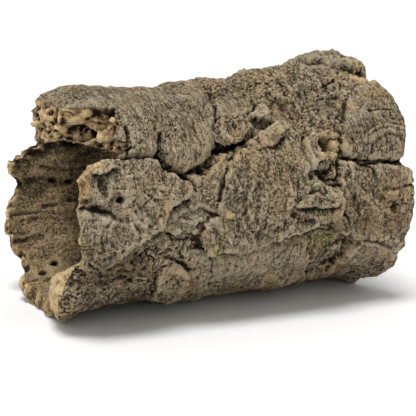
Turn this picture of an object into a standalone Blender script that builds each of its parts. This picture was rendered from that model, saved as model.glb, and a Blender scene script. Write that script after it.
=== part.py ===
"""Cork bark round: a length of cork oak bark that grew round a branch and came off it as one
hollow, open-ended tube. The tube lies along X and rests on its lowest bark at Z = 0."""

import bpy
import numpy as np

NAME = "cork_bark_round"
MM = 0.001

# Main sizes, in millimetres
LEFT_RADIUS = 91.0
RIGHT_RADIUS = 98.5
HALF_LENGTH = 150.0
REACH = 172.0
THINNEST_WALL = 5.0
REST_DEPTH = 2.5
REST_FLAT = 0.5
FOOT = 50.0
ARC_RADIUS = 95.0
ARC = ARC_RADIUS * np.pi / 180.0

# The grid that the bark is moved on: columns round the tube, rows along its outside, its
# right edge, its inside and its left edge
COLUMNS = 240
OUTER_ROWS = 150
RIGHT_ROWS = 12
INNER_ROWS = 60
LEFT_ROWS = 18
TRIANGLES = 11400

# Angles run round the tube in degrees: 0 faces -Y, 90 is the top, -90 the bottom.
# Where the bark ends on the left, outside and inside: (angle, x)
LEFT_OUTSIDE = [
    (-180, -138), (-172, -147), (-164, -153), (-156, -155), (-150, -154), (-144, -151),
    (-138, -146), (-128, -147), (-121, -156), (-115, -156), (-108, -152), (-100, -151),
    (-88, -151), (-74, -151), (-62, -157), (-50, -163), (-40, -165), (-30, -164),
    (-21, -157), (-8, -157), (2, -160), (8, -159), (11, -148), (22, -146), (27, -145),
    (31, -126), (34, -107), (37, -113), (40, -122), (46, -113), (56, -111), (60, -125),
    (63, -146), (75, -150), (86, -151), (97, -150), (102, -143), (108, -122), (125, -108),
    (145, -112), (152, -118), (158, -129), (162, -139), (166, -147), (173, -148),
    (177, -140),
]
LEFT_INSIDE = [
    (-180, -137), (-172, -146), (-164, -152), (-156, -154), (-150, -153), (-144, -150),
    (-138, -145), (-128, -146), (-121, -155), (-115, -154), (-108, -150), (-95, -150),
    (-80, -156), (-58, -163), (-42, -168), (-35, -166), (-29, -154), (-22, -150),
    (-10, -151), (5, -152), (10, -149), (24, -149), (28, -142), (33, -104), (38, -109),
    (44, -118), (50, -132), (58, -141), (65, -147), (80, -151), (92, -154), (101, -153),
    (105, -143), (110, -121), (125, -107), (145, -111), (152, -117), (158, -128),
    (162, -138), (166, -146), (173, -147), (177, -139),
]
# Where it ends on the right: (angle, x)
RIGHT_OUTSIDE = [
    (-180, 146), (-150, 149), (-120, 143), (-95, 150), (-75, 148), (-60, 155), (-48, 158),
    (-38, 154), (-25, 150), (-8, 152), (2, 150), (10, 148), (14, 145), (20, 143),
    (30, 147), (38, 149), (46, 148), (58, 145), (66, 150), (74, 153), (84, 152), (95, 150), (108, 146),
    (125, 142), (150, 144),
]
# The wall's thickness: (angle, mm)
WALL_ROUND = [
    (-180, 17), (-120, 16), (-85, 20), (-70, 23), (-40, 22), (-28, 18), (-10, 15), (15, 20),
    (27, 19), (34, 16), (45, 21), (60, 24), (80, 27), (98, 26), (108, 18), (140, 15),
]
# How much thinner the wall grows towards its left edge: (angle, share)
LEFT_TAPER = [
    (-180, 0.75), (-125, 0.65), (-95, 0.2), (-60, 0.0), (-28, 0.1), (-16, 0.7), (4, 0.7),
    (10, 0.1), (28, 0.1), (40, 0.0), (100, 0.0), (112, 0.6), (140, 0.75),
]
# The section's own swelling along the top and the underside: (x, mm)
TOP_SWELL = [(-150, -6), (-105, -7), (-64, -12), (-48, -15), (-32, -10), (-8, -5), (2, -4),
             (20, -8), (34, -7), (50, 0), (132, 3), (155, -4)]
LOW_SWELL = [(-150, 5), (-128, -3), (-100, -4), (-60, -2), (0, -5), (28, -4), (50, -2),
             (70, -6), (115, -7), (130, -6), (150, 2)]
# How far the top of the left end curls in, and how soon that dies away
CURL = 8.0
CURL_REACH = 12.0


class Plate:
    """A raised or sunk field of bark. Its outline is in (x, angle). It stands `lip` over the
    tube at its edge and rounds up to `top` within `dome`; `edge` is the width of its step,
    and `lean` how far the step hangs out over the bark beside it, most of all downwards."""

    def __init__(self, outline, top, lip, dome, edge=3.0, lean=2.0, rough=0.5, grain=0.0):
        self.outline = outline
        self.top = top
        self.lip = lip
        self.dome = dome
        self.edge = edge
        self.lean = lean
        self.rough = rough
        self.grain = grain


PLATES = [
    # Rough ground that shows between the plates
    Plate([(-170, -16), (-140, -14), (-118, -18), (-96, -8), (-84, -12), (-66, -18),
           (-60, -34), (-52, -60), (-60, -88), (-170, -88)], -1, -2, 20, 6, 0, 1.6),
    Plate([(42, -14), (70, -8), (86, -16), (104, -22), (98, -42), (88, -60), (74, -68),
           (60, -50), (50, -30)], -5, -3, 10, 5, 0, 1.8),
    Plate([(-22, 60), (10, 52), (50, 60), (90, 62), (108, 80), (100, 112), (20, 118),
           (-24, 108), (-16, 84)], 3, 1, 15, 6, 1, 1.8),
    Plate([(62, 34), (84, 32), (104, 46), (106, 62), (84, 66), (60, 60), (56, 44)],
          -3, -1, 12, 6, 0, 1.5),
    # Unseen side
    Plate([(-118, 122), (-70, 112), (-8, 118), (44, 126), (48, 150), (-18, 160),
           (-84, 158), (-126, 148)], 7, 2, 18, 4, 2, 0.8, 0.5),
    Plate([(30, 160), (58, 130), (120, 128), (156, 140), (160, 176), (110, 190),
           (52, 186)], 6, 1, 20, 4, 2, 0.8, 0.5),
    Plate([(-160, 168), (-90, 164), (-10, 166), (24, 176), (16, 206), (-60, 216),
           (-150, 206)], 5, 1, 16, 4, 3, 0.8, 0.3),
    Plate([(-160, 212), (-70, 220), (-20, 214), (10, 232), (-20, 262), (-160, 256)],
          6, 1, 16, 4, 2, 0.9, 0.3),
    Plate([(30, 200), (100, 198), (165, 190), (165, 236), (90, 246), (36, 232)],
          7, 1, 18, 4, 2, 0.8, 0.4),
    Plate([(0, 246), (40, 240), (165, 246), (165, 286), (70, 292), (-6, 276)],
          4, 0, 18, 4, 2, 0.8, 0.4),
    # Right end
    Plate([(102, 50), (120, 58), (150, 62), (170, 58), (172, 30), (168, 18), (140, 16),
           (111, 18), (82, 21), (84, 30), (100, 44)], 9, 0, 24, 3, 2, 0.4, 1.0),
    Plate([(78, 18), (111, 15), (140, 13), (170, 12), (172, -20), (150, -34), (112, -27),
           (96, -24), (83, -10), (71, 3)], 6, 2, 12, 3, 3, 0.7, 0.5),
    Plate([(94, -42), (98, -29), (113, -28), (145, -35), (170, -44), (170, -66),
           (124, -62), (98, -58)], 3, -1, 10, 3, 2, 0.7, 0.3),
    Plate([(106, 104), (110, 92), (119, 84), (134, 79), (150, 75), (176, 73), (176, 114),
           (140, 124), (110, 120)], 13, 7, 14, 3, 6, 1.3, 0.3),
    # Under the middle
    Plate([(-44, -20), (-11, -19), (6, -17), (44, -12), (54, -28), (68, -48), (76, -66),
           (60, -86), (-10, -86), (-26, -66), (-30, -52)], 3, -4, 14, 4, 1, 0.4, 1.0),
    Plate([(-70, -17), (-48, -18), (-40, -28), (-27, -52), (-33, -70), (-52, -66),
           (-55, -42)], 2, 0, 6, 3, 2, 0.7, 0.6),
    Plate([(-24, -60), (-10, -62), (-6, -74), (-12, -90), (-26, -90), (-29, -72)],
          4, 1, 8, 3, 2, 1.2),
    Plate([(-84, -32), (-74, -25), (-58, -32), (-50, -46), (-52, -62), (-80, -58)],
          4, 1, 6, 3, 2, 0.5, 0.3),
    # Left: the rolled lobe along the top, then the panel in front of the opening
    Plate([(-185, 108), (-170, 56), (-130, 34), (-113, 31), (-92, 30), (-84, 33),
           (-81, 26), (-71, 21), (-60, 21), (-51, 23), (-43, 26), (-33, 32), (-27, 47),
           (-16, 62), (-10, 84), (-18, 104), (-60, 112), (-110, 112)],
          9, -3, 26, 3, 1, 0.4, 1.0),
    Plate([(-180, 24), (-152, 23), (-144, 28), (-133, 30), (-113, 29), (-92, 28),
           (-85, 24), (-71, 20), (-60, 12), (-66, 8), (-80, 6), (-82, -2), (-96, -7),
           (-111, -14), (-124, -18), (-142, -21), (-180, -22)],
          7, 4, 9, 3, 4, 0.7, 0.3),
    Plate([(-64, 20), (-50, 18), (-37, 24), (-26, 22), (-34, 10), (-32, 2), (-43, -3),
           (-56, -1), (-66, 5)], 4, 2, 6, 2.5, 2, 0.8, 0.2),
    Plate([(-82, 1), (-68, 4), (-55, -1), (-44, -5), (-46, -10), (-60, -12),
           (-80, -11)], 1, 0, 5, 2.5, 2, 0.6, 0.3),
    Plate([(-74, -1), (-58, -2), (-47, -7), (-60, -9), (-72, -6)], 3.5, 2.5, 3, 2, 2, 0.4),
    Plate([(-93, -10), (-84, -8), (-80, -12), (-89, -16)], 3, 1, 3, 2, 2, 0.4),
    # Middle: the broad plate and what lies over its upper edge
    Plate([(-18, 29), (-29, 22), (-38, 11), (-44, -1), (-55, -6), (-57, -15),
           (-38, -21), (-11, -20), (6, -17), (33, -14), (54, -11), (72, -7), (76, 0),
           (70, 6), (57, 8), (46, 15), (42, 20), (44, 31), (34, 38), (12, 36)],
          9, 6, 10, 3, 6, 0.7, 0.2),
    Plate([(27, -2), (34, 3), (50, 5), (72, 6), (76, 1), (71, -6), (54, -8), (36, -6)],
          12, 9, 7, 5, 2, 0.6, 0.2),
    Plate([(-20, 27), (-2, 32), (12, 37), (28, 41), (38, 38), (29, 32), (16, 29),
           (0, 26)], 10, 8, 4, 2.5, 3, 0.5, 0.3),
    Plate([(45, 31), (58, 33), (58, 25), (53, 18), (47, 14), (44, 21)],
          7, 4, 5, 2, 1, 0.3, 0.2),
    Plate([(-18, 62), (2, 63), (17, 60), (10, 50), (-2, 47), (-24, 48)],
          5, 2, 6, 2.5, 2, 0.3, 1.0),
    Plate([(-32, 41), (-22, 48), (-8, 47), (2, 45), (1, 40), (-7, 35), (-15, 32),
           (-29, 32)], 7, 3, 6, 2.5, 4, 0.9),
    Plate([(3, 46), (17, 52), (28, 53), (37, 48), (50, 41), (30, 42), (13, 43)],
          7, 4, 5, 2.5, 2, 0.5),
    Plate([(24, 55), (40, 58), (60, 53), (57, 43), (46, 38), (28, 40), (21, 46)],
          -4, 0, 8, 4, 0, 0.8),
    Plate([(70, -8), (75, -7), (88, -17), (84, -20), (74, -15)], 6, 4, 3, 2, 1, 0.4),
]

# Cracks and grooves: points in (x, angle), depth, half width
CRACKS = [
    ([(-108, 45), (-109, 39), (-110, 33)], 4.5, 1.6),
    ([(-82, 39), (-84, 35), (-86, 31)], 5.0, 1.8),
    ([(-128, 33), (-113, 31), (-92, 29), (-86, 29), (-80, 23), (-70, 19.5)], 6.0, 2.6),
    ([(-70, 19.5), (-60, 20), (-50, 21), (-42, 25), (-33, 30), (-29, 38)], 6.0, 3.0),
    ([(-29, 38), (-26, 48), (-15, 63), (-9, 80)], 3.5, 2.6),
    ([(-70, 21), (-65, 16), (-60, 12)], 4.5, 2.0),
    ([(-165, 10), (-158, 9.5), (-146, 8), (-132, 5)], 8.0, 3.0),
    ([(-33, 30), (-24, 30), (-12, 29)], 6.0, 3.5),
    ([(43, 31), (41, 24), (44, 18), (46, 14)], 6.5, 2.0),
    ([(42, 13), (50, 10), (60, 9)], 4.0, 3.0),
    ([(80, 20), (96, 18), (111, 17), (141, 15), (170, 15)], 5.0, 3.0),
    ([(102, 16), (108, 11)], 3.0, 1.2),
    ([(140, 3), (165, 3)], 3.0, 1.2),
    ([(118, 41), (138, 41), (152, 37)], 1.8, 1.2),
    ([(102, 92), (112, 82), (128, 79), (144, 74), (160, 73)], 5.0, 2.2),
    ([(-50, -4), (-30, -23), (-8, -22), (20, -19), (48, -14), (72, -9)], 2.5, 3.0),
    ([(-78, -25), (-66, -29), (-56, -34)], 3.0, 1.6),
    ([(1, 42), (14, 41), (25, 43)], 3.5, 2.5),
    ([(-100, -18), (-112, -22), (-126, -24)], 3.0, 4.0),
]
# Pits: (x, angle), depth, radius along, radius round
PITS = [
    ((-124, 11), 8.0, 3.2, 3.2),
    ((68, 27), 15.0, 7.0, 6.5),
    ((97, 56), 8.0, 7.5, 4.0),
    ((131, -7), 6.5, 5.0, 5.0),
    ((94, -27), 7.0, 5.0, 9.0),
    ((49, 46), 3.0, 2.5, 2.5),
    ((-88, -5), 6.0, 7.0, 4.5),
    ((-76, 5), 5.0, 6.0, 3.0),
    ((44, 13), 4.0, 6.0, 5.0),
    ((-111, -36), 4.0, 7.0, 3.0),
    ((-137, 17), 4.0, 4.0, 8.0),
]
# The same on the inside of the wall
INNER_CRACKS = [
    ([(-150, -163), (-131, -163), (-112, -166), (-80, -170)], 4.0, 2.5),
    ([(-146, -117), (-126, -113), (-100, -116)], 3.0, 2.0),
    ([(-120, 168), (-96, 172), (-60, 168)], 3.0, 3.0),
    ([(-60, -150), (10, -145), (70, -152)], 3.0, 3.0),
    ([(0, 40), (60, 46), (130, 40)], 3.0, 3.0),
    ([(20, -60), (80, -52), (140, -58)], 3.0, 3.0),
]
INNER_PITS = [
    ((-110, 178), 5.0, 3.0, 3.0),
    ((-95, 179), 4.0, 4.0, 3.0),
    ((-91, 154), 6.0, 12.0, 6.0),
    ((-123, -127), 6.0, 3.0, 4.0),
    ((-136, -122), 5.0, 3.5, 3.5),
    ((60, -120), 5.0, 4.0, 4.0),
    ((100, 120), 5.0, 5.0, 4.0),
]


def step(low, high, value):
    t = np.clip((value - low) / (high - low), 0.0, 1.0)
    return t * t * (3.0 - 2.0 * t)


def hashed(i, j, k, seed):
    """A fixed number from -1 to 1 for each lattice point."""
    h = (i * 374761393 + j * 668265263 + k * 1440662683 + seed * 974634777) & 0xFFFFFFFF
    h = ((h ^ (h >> 13)) * 1274126177) & 0xFFFFFFFF
    h = ((h ^ (h >> 16)) * 668265263) & 0xFFFFFFFF
    h = h ^ (h >> 15)
    return h / 2147483647.5 - 1.0


def noise(p, seed):
    """Smooth noise from -1 to 1 over points p."""
    cell = np.floor(p).astype(np.int64)
    f = p - cell
    f = f * f * f * (f * (f * 6.0 - 15.0) + 10.0)
    total = 0.0
    for a in (0, 1):
        wx = f[..., 0] if a else 1.0 - f[..., 0]
        for b in (0, 1):
            wy = f[..., 1] if b else 1.0 - f[..., 1]
            for c in (0, 1):
                wz = f[..., 2] if c else 1.0 - f[..., 2]
                corner = hashed(cell[..., 0] + a, cell[..., 1] + b, cell[..., 2] + c, seed)
                total = total + wx * wy * wz * corner
    return total


TURN = np.array([[0.80, 0.36, -0.48], [-0.60, 0.48, -0.64], [0.00, 0.80, 0.60]])


def layered(p, seed, octaves=4, gain=0.5, ridged=False):
    """Noise in octaves, each turned so that no lattice shows. Ridged noise has sharp crests."""
    total = 0.0
    weight = 1.0
    norm = 0.0
    for n in range(octaves):
        value = noise(p, seed + n)
        if ridged:
            value = 1.0 - 2.0 * np.abs(value)
        total = total + weight * value
        norm += weight
        weight *= gain
        p = p @ TURN.T * 2.03
    return total / norm


def terraced(value, count):
    """A value cut into steps, like bark that has come away in layers."""
    value = value * count
    whole = np.floor(value)
    return (whole + step(0.32, 0.68, value - whole)) / count


def cells(p, seed):
    """Distance to the border between irregular cells, and a fixed number for each cell."""
    home = np.floor(p).astype(np.int64)
    first = np.full(p.shape[:-1], 9.0)
    second = np.full(p.shape[:-1], 9.0)
    label = np.zeros(p.shape[:-1])
    for a in (-1, 0, 1):
        for b in (-1, 0, 1):
            for c in (-1, 0, 1):
                i, j, k = home[..., 0] + a, home[..., 1] + b, home[..., 2] + c
                dx = i + 0.5 + 0.42 * hashed(i, j, k, seed) - p[..., 0]
                dy = j + 0.5 + 0.42 * hashed(i, j, k, seed + 1) - p[..., 1]
                dz = k + 0.5 + 0.42 * hashed(i, j, k, seed + 2) - p[..., 2]
                d = np.sqrt(dx * dx + dy * dy + dz * dz)
                nearer = d < first
                second = np.where(nearer, first, np.minimum(second, d))
                label = np.where(nearer, hashed(i, j, k, seed + 3), label)
                first = np.where(nearer, d, first)
    return second - first, label


def turned(angle):
    """An angle brought to -180..180."""
    return (angle + 180.0) % 360.0 - 180.0


def round_table(table, angle):
    """A table in (angle, value), read round the tube."""
    degrees, values = zip(*table)
    return np.interp(angle, degrees, values, period=360.0)


def along_table(table, x):
    places, values = zip(*table)
    return np.interp(x, places, values)


def place(x, angle, radius):
    a = np.radians(angle)
    return np.stack([x, -radius * np.cos(a), radius * np.sin(a)], axis=-1)


def segment_offset(u, v, a, b):
    """The offset of points (u, v) from their nearest points on the segment a to b."""
    du, dv = b[0] - a[0], b[1] - a[1]
    t = ((u - a[0]) * du + (v - a[1]) * dv) / max(du * du + dv * dv, 1e-9)
    t = np.clip(t, 0.0, 1.0)
    return u - a[0] - t * du, v - a[1] - t * dv


def outline_distance(u, v, corners):
    """Distance inside a closed outline, negative outside, and the direction outwards."""
    best = np.full(u.shape, 1e9)
    bu = np.zeros(u.shape)
    bv = np.zeros(u.shape)
    inside = np.zeros(u.shape, bool)
    for a, b in zip(corners, corners[1:] + corners[:1]):
        ou, ov = segment_offset(u, v, a, b)
        d = ou * ou + ov * ov
        nearer = d < best
        best = np.where(nearer, d, best)
        bu = np.where(nearer, ou, bu)
        bv = np.where(nearer, ov, bv)
        if a[1] != b[1]:
            crossing = a[0] + (v - a[1]) * (b[0] - a[0]) / (b[1] - a[1])
            inside ^= ((a[1] > v) != (b[1] > v)) & (u < crossing)
    d = np.sqrt(best)
    sign = np.where(inside, -1.0, 1.0)
    scale = sign / np.maximum(d, 1e-6)
    return np.where(inside, d, -d), bu * scale, bv * scale


def line_distance(u, v, points):
    best = np.full(u.shape, 1e9)
    for a, b in zip(points, points[1:]):
        ou, ov = segment_offset(u, v, a, b)
        best = np.minimum(best, ou * ou + ov * ov)
    return np.sqrt(best)


def carve(height, u, angle, cracks, pits, wander):
    """Cuts the cracks and the pits into a height over points (u, angle)."""
    for points, depth, width in cracks:
        middle = sum(p[1] for p in points) / len(points)
        v = ARC * turned(angle - middle)
        line = [(p[0], ARC * (p[1] - middle)) for p in points]
        d = line_distance(u + wander[0], v + wander[1], line)
        height = height - depth * np.exp(-((d / width) ** 2))
    for (x, degrees), depth, along, across in pits:
        v = ARC * turned(angle - degrees)
        d = np.hypot((u + wander[0] * 0.5 - x) / along, (v + wander[1] * 0.5) / across)
        height = height - depth * (1.0 - step(0.45, 1.25, d))
    return height


def wandering(p):
    """How far outlines and cracks stray from their drawn lines, along the tube and round it."""
    along = 3.0 * layered(p / 14.0, 11, 3) + 0.4 * noise(p / 5.0, 14)
    across = 3.0 * layered(p / 14.0, 21, 3) + 0.4 * noise(p / 5.0, 24)
    return along, across


def over_plate(plate, x, angle, stray):
    """Which points are on or near a plate, how much it covers them, their distance inside
    its outline and the direction outwards."""
    middle = sum(q[1] for q in plate.outline) / len(plate.outline)
    v = ARC * turned(angle - middle)
    corners = [(q[0], ARC * (q[1] - middle)) for q in plate.outline]
    us, vs = zip(*corners)
    near = (x > min(us) - 9.0) & (x < max(us) + 9.0) & (v > min(vs) - 9.0) & (v < max(vs) + 9.0)
    d, out_u, out_v = outline_distance(x[near] + stray[0][near], v[near] + stray[1][near], corners)
    return near, step(-0.5 * plate.edge, 0.5 * plate.edge, d), d, out_u, out_v


def outer_relief(x, angle):
    """Height of the bark over the tube, and how far it leans along x and round the tube."""
    p = place(x, angle, ARC_RADIUS)
    stray = wandering(p)
    crust = layered(p / 9.0, 31, 4, 0.55, ridged=True)
    lumps = layered(p / 26.0, 41, 3)
    layers = terraced(layered(p / 24.0, 45, 4, 0.5), 5.0)
    chips = terraced(layered(p / 12.0, 47, 4, 0.6), 2.5)
    lines = layered(p * np.array([0.30, 0.04, 0.04]), 51, 2)
    swirl = 1.8 * np.stack([stray[0], stray[1], stray[0]], axis=-1)
    border, label = cells((p + swirl) / np.array([30.0, 21.0, 21.0]), 61)
    height = 1.0 + 2.0 * label + 1.5 * lumps + 2.0 * crust + 2.0 * layers + 3.0 * chips
    height = height - 4.0 * (1.0 - step(0.02, 0.20, border))
    lean_u = np.zeros(x.shape)
    lean_v = np.zeros(x.shape)
    for plate in PLATES:
        near, cover, d, out_u, out_v = over_plate(plate, x, angle, stray)
        t = 1.0 - np.clip(d / plate.dome, 0.0, 1.0)
        rise = plate.lip + (plate.top - plate.lip) * np.sqrt(1.0 - t * t)
        rise = rise + (0.4 + plate.rough) * crust[near] + 1.2 * lumps[near]
        rise = rise + 3.2 * layers[near] + (1.2 + 2.6 * plate.rough) * chips[near]
        rise = rise + 0.7 * plate.grain * lines[near]
        height[near] += (rise - height[near]) * cover
        push = plate.lean * (0.35 + 0.65 * np.clip(-out_v, 0.0, 1.0))
        push = push * step(-0.1 * plate.edge, 0.9 * plate.edge, d) * (1.0 - step(3.0, 13.0, d))
        lean_u[near] = lean_u[near] * (1.0 - cover) + push * out_u
        lean_v[near] = lean_v[near] * (1.0 - cover) + push * out_v
    height = carve(height, x, angle, CRACKS, PITS, (0.5 * stray[0], 0.5 * stray[1]))
    return height, lean_u, lean_v


def tube_radius(x, angle):
    radius = LEFT_RADIUS + (RIGHT_RADIUS - LEFT_RADIUS) * (x + HALF_LENGTH) / (2 * HALF_LENGTH)
    radius = radius + along_table(TOP_SWELL, x) * step(60.0, 0.0, np.abs(turned(angle - 96.0)))
    radius = radius + along_table(LOW_SWELL, x) * step(60.0, 0.0, np.abs(turned(angle + 72.0)))
    return radius


def curled(angle, to_left):
    at_top = step(50.0, 78.0, angle) * step(128.0, 108.0, angle)
    return CURL * at_top * np.exp(-np.maximum(to_left, 0.0) / CURL_REACH)


def outer_surface(x, angle, to_left, to_right):
    height, lean_u, lean_v = outer_relief(x, angle)
    free = step(0.0, 9.0, to_left) * step(0.0, 9.0, to_right)
    edge = np.minimum(to_left, to_right)
    round_off = 1.8 * np.exp(-edge / 2.5)
    radius = tube_radius(x, angle) + height - round_off - curled(angle, to_left)
    return x + lean_u * free, angle + lean_v * free / ARC, radius


def inner_radius(x, angle, to_left, outer):
    """The inside of the wall: grooved along the tube, thin towards the broken ends."""
    p = place(x, angle, ARC_RADIUS)
    wall = round_table(WALL_ROUND, angle) - 1.5
    thinner = round_table(LEFT_TAPER, angle) * (1.0 - step(0.0, 45.0, to_left))
    wall = wall * (1.0 - thinner)
    wall = wall + 2.2 * layered(p * np.array([0.012, 0.045, 0.045]), 71, 3)
    grooves = layered(p * np.array([0.02, 0.16, 0.16]), 81, 3, 0.6, ridged=True)
    height = -wall - 0.9 * grooves - 0.8 * layered(p / 11.0, 91, 3)
    wander = (1.5 * noise(p / 7.0, 95), 1.5 * noise(p / 7.0, 96))
    height = -carve(-height, x, angle, INNER_CRACKS, INNER_PITS, wander)
    radius = tube_radius(x, angle) + height - curled(angle, to_left)
    return np.minimum(radius, outer - THINNEST_WALL)


def jag(x, angle, seed):
    """The broken edge: long splinters and small teeth."""
    p = place(np.full(np.shape(angle), x), angle, ARC_RADIUS)
    return 2.8 * layered(p / 9.0, seed, 3, 0.6) + 1.6 * noise(p / 2.6, seed + 7)


def between(x, left, right):
    """Places along the tube, with those past an end gathered up just inside it."""
    d = x - left
    x = left + np.where(d > 3.0, d, 9.0 / (6.0 - np.minimum(d, 3.0)))
    d = right - x
    return right - np.where(d > 3.0, d, 9.0 / (6.0 - np.minimum(d, 3.0)))


def bark_points(angles, outer_x, right_t, inner_x, left_t):
    """A grid of points, one closed loop of rows for each angle: along the outside to the
    right, over the right edge, back along the inside and over the left edge."""
    left = round_table(LEFT_OUTSIDE, angles) + jag(-150.0, angles, 101)
    left_in = round_table(LEFT_INSIDE, angles) + jag(-150.0, angles, 121) + 1.0
    right = round_table(RIGHT_OUTSIDE, angles) + jag(150.0, angles, 141)
    right_in = right - 3.0 + 0.6 * jag(150.0, angles, 161)
    x = between(outer_x[None, :], left[:, None], right[:, None])
    a = np.broadcast_to(angles[:, None], x.shape)
    ox, oa, outer = outer_surface(x, a, x - left[:, None], right[:, None] - x)
    ix = between(inner_x[None, :], left_in[:, None], right_in[:, None])
    b = np.broadcast_to(angles[:, None], ix.shape)
    covered = np.stack([np.interp(ix[n], x[n], outer[n]) for n in range(len(angles))])
    inner = inner_radius(ix, b, ix - left_in[:, None], covered)
    outside = place(ox, oa, outer)
    inside = place(ix, b, inner)
    right_edge = broken_edge(outside[:, -1], inside[:, 0], right_t, 1.0, angles, 171)
    left_edge = broken_edge(inside[:, -1], outside[:, 0], left_t, -1.0, angles, 181)
    return np.concatenate([outside, right_edge, inside, left_edge], axis=1)


def broken_edge(start, end, fractions, way, angles, seed):
    """The face across the wall where the bark broke off: bulged, torn and holed."""
    t = fractions[None, :, None]
    face = start[:, None] * (1.0 - t) + end[:, None] * t
    crown = np.sqrt(np.sin(np.pi * fractions))[None]
    rough = 1.2 + 1.2 * layered(face / 5.0, seed, 3, 0.6)
    if way < 0:
        torn = step(26.0, 36.0, angles) * step(112.0, 100.0, angles)
        slab = step(-66.0, -52.0, angles) * step(-20.0, -28.0, angles)
        clefts = layered(face / 10.0, seed + 9, 3, 0.6, ridged=True) - 0.25
        rough = rough + (6.0 * torn + 3.0 * slab)[:, None] * clefts
        hollow = step(36.0, 44.0, angles) * step(64.0, 56.0, angles)
        rough = rough - 8.0 * hollow[:, None]
        shred = [noise(face / 6.5, seed + 20 + n) for n in range(3)]
        shred = np.stack(shred, axis=-1) * (0.8 + 3.0 * torn[:, None, None])
        face = face + shred * crown[..., None]
    face[..., 0] += way * rough * crown
    return face


def column_angles(count):
    """Angles round the tube, closer together in front than behind."""
    turn = 2.0 * np.pi * np.arange(count) / count
    facing = np.radians(12.0)
    return turned(-np.degrees(turn - 0.3 * np.sin(turn + facing)))


def tilted(points, tilt):
    x, y, z = points[..., 0], points[..., 1], points[..., 2]
    c, s = np.cos(tilt), np.sin(tilt)
    return np.stack([c * x + s * z, y, c * z - s * x], axis=-1)


def standing(points):
    """How the tube stands by itself: the tilt about Y that brings the lowest bark near both
    ends to one level, and the move that then puts the middle of its base at the origin."""
    points = points.reshape(-1, 3)
    tilt = 0.0
    for _ in range(12):
        x, _, z = tilted(points, tilt).T
        left = np.where(x < -FOOT, z, 1e9).argmin()
        right = np.where(x > FOOT, z, 1e9).argmin()
        tilt += np.arctan2(z[right] - z[left], x[right] - x[left])
    points = tilted(points, tilt)
    low, high = points.min(axis=0), points.max(axis=0)
    move = [-0.5 * (low[0] + high[0]), -0.5 * (low[1] + high[1]), -low[2] - REST_DEPTH]
    return tilt, np.array(move)


def stood(points, tilt, move):
    """The points as the tube stands, with its lowest bark pressed flat."""
    points = tilted(points, tilt) + move
    points[..., 2] = np.maximum(points[..., 2], 0.0)
    return points


def bark_material():
    material = bpy.data.materials.new("cork_bark")
    material.use_nodes = True
    shader = material.node_tree.nodes["Principled BSDF"]
    shader.inputs["Base Color"].default_value = (0.235, 0.18, 0.115, 1.0)
    shader.inputs["Roughness"].default_value = 0.9
    shader.inputs["Metallic"].default_value = 0.0
    return material


def square_up(mesh):
    """Makes the pressed bark one level again, under the middle of the tube's box."""
    points = np.empty(len(mesh.vertices) * 3, np.float32)
    mesh.vertices.foreach_get("co", points)
    points = points.reshape(-1, 3)
    points[:, 2] = np.where(points[:, 2] < REST_FLAT * MM, 0.0, points[:, 2])
    middle = 0.5 * (points.min(axis=0) + points.max(axis=0))
    points[:, :2] -= middle[:2]
    mesh.vertices.foreach_set("co", points.reshape(-1))
    mesh.update()


def build_tube(collection):
    rows = OUTER_ROWS + RIGHT_ROWS + INNER_ROWS + LEFT_ROWS
    bpy.ops.mesh.primitive_torus_add(
        major_segments=COLUMNS, minor_segments=rows, major_radius=0.09, minor_radius=0.01
    )
    tube = bpy.context.active_object
    points = bark_points(
        column_angles(COLUMNS),
        np.linspace(-REACH, REACH, OUTER_ROWS),
        np.linspace(0.0, 1.0, RIGHT_ROWS + 2)[1:-1],
        np.linspace(REACH, -REACH, INNER_ROWS),
        np.linspace(0.0, 1.0, LEFT_ROWS + 2)[1:-1],
    )
    points = stood(points, *standing(points)) * MM
    tube.data.vertices.foreach_set("co", points.reshape(-1).astype(np.float32))
    tube.name = NAME
    tube.data.name = NAME
    thin_out = tube.modifiers.new("Fewer faces on flatter bark", "DECIMATE")
    thin_out.ratio = TRIANGLES / (2.0 * COLUMNS * rows)
    bpy.ops.object.modifier_apply(modifier=thin_out.name)
    square_up(tube.data)
    tube.data.shade_smooth()
    tube.data.set_sharp_from_angle(angle=np.radians(50.0))
    tube.data.materials.append(bark_material())
    for owner in list(tube.users_collection):
        owner.objects.unlink(tube)
    collection.objects.link(tube)
    return tube


def main():
    for old in list(bpy.data.objects):
        bpy.data.objects.remove(old, do_unlink=True)
    collection = bpy.data.collections.new(NAME)
    bpy.context.scene.collection.children.link(collection)
    build_tube(collection)


main()
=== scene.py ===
import math

import bpy
import numpy as np
from mathutils import Matrix, Vector


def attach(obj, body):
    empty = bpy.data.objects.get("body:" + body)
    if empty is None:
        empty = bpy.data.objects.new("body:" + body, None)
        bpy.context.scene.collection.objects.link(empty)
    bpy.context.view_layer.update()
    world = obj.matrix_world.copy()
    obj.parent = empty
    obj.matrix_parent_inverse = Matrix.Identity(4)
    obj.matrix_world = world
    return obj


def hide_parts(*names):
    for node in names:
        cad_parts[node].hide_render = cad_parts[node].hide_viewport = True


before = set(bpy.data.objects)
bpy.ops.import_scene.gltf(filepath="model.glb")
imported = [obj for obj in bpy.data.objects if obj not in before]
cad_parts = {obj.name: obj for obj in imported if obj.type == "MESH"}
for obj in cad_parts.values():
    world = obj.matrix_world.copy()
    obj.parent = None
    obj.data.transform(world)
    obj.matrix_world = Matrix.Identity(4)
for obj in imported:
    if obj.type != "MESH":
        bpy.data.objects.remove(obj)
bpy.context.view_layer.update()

MM = 0.001

# Main sizes, in millimetres
LEFT_RADIUS = 91.0
RIGHT_RADIUS = 98.5
HALF_LENGTH = 150.0
REACH = 172.0
THINNEST_WALL = 5.0
ARC_RADIUS = 95.0
# The way round the tube that one degree covers
ARC = ARC_RADIUS * np.pi / 180.0
# How the tube stands: its tilt about Y, and its move from the middle of the tube
TILT = np.radians(-1.564)
MOVE = np.array([2.47, 1.86, 97.10])

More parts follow.
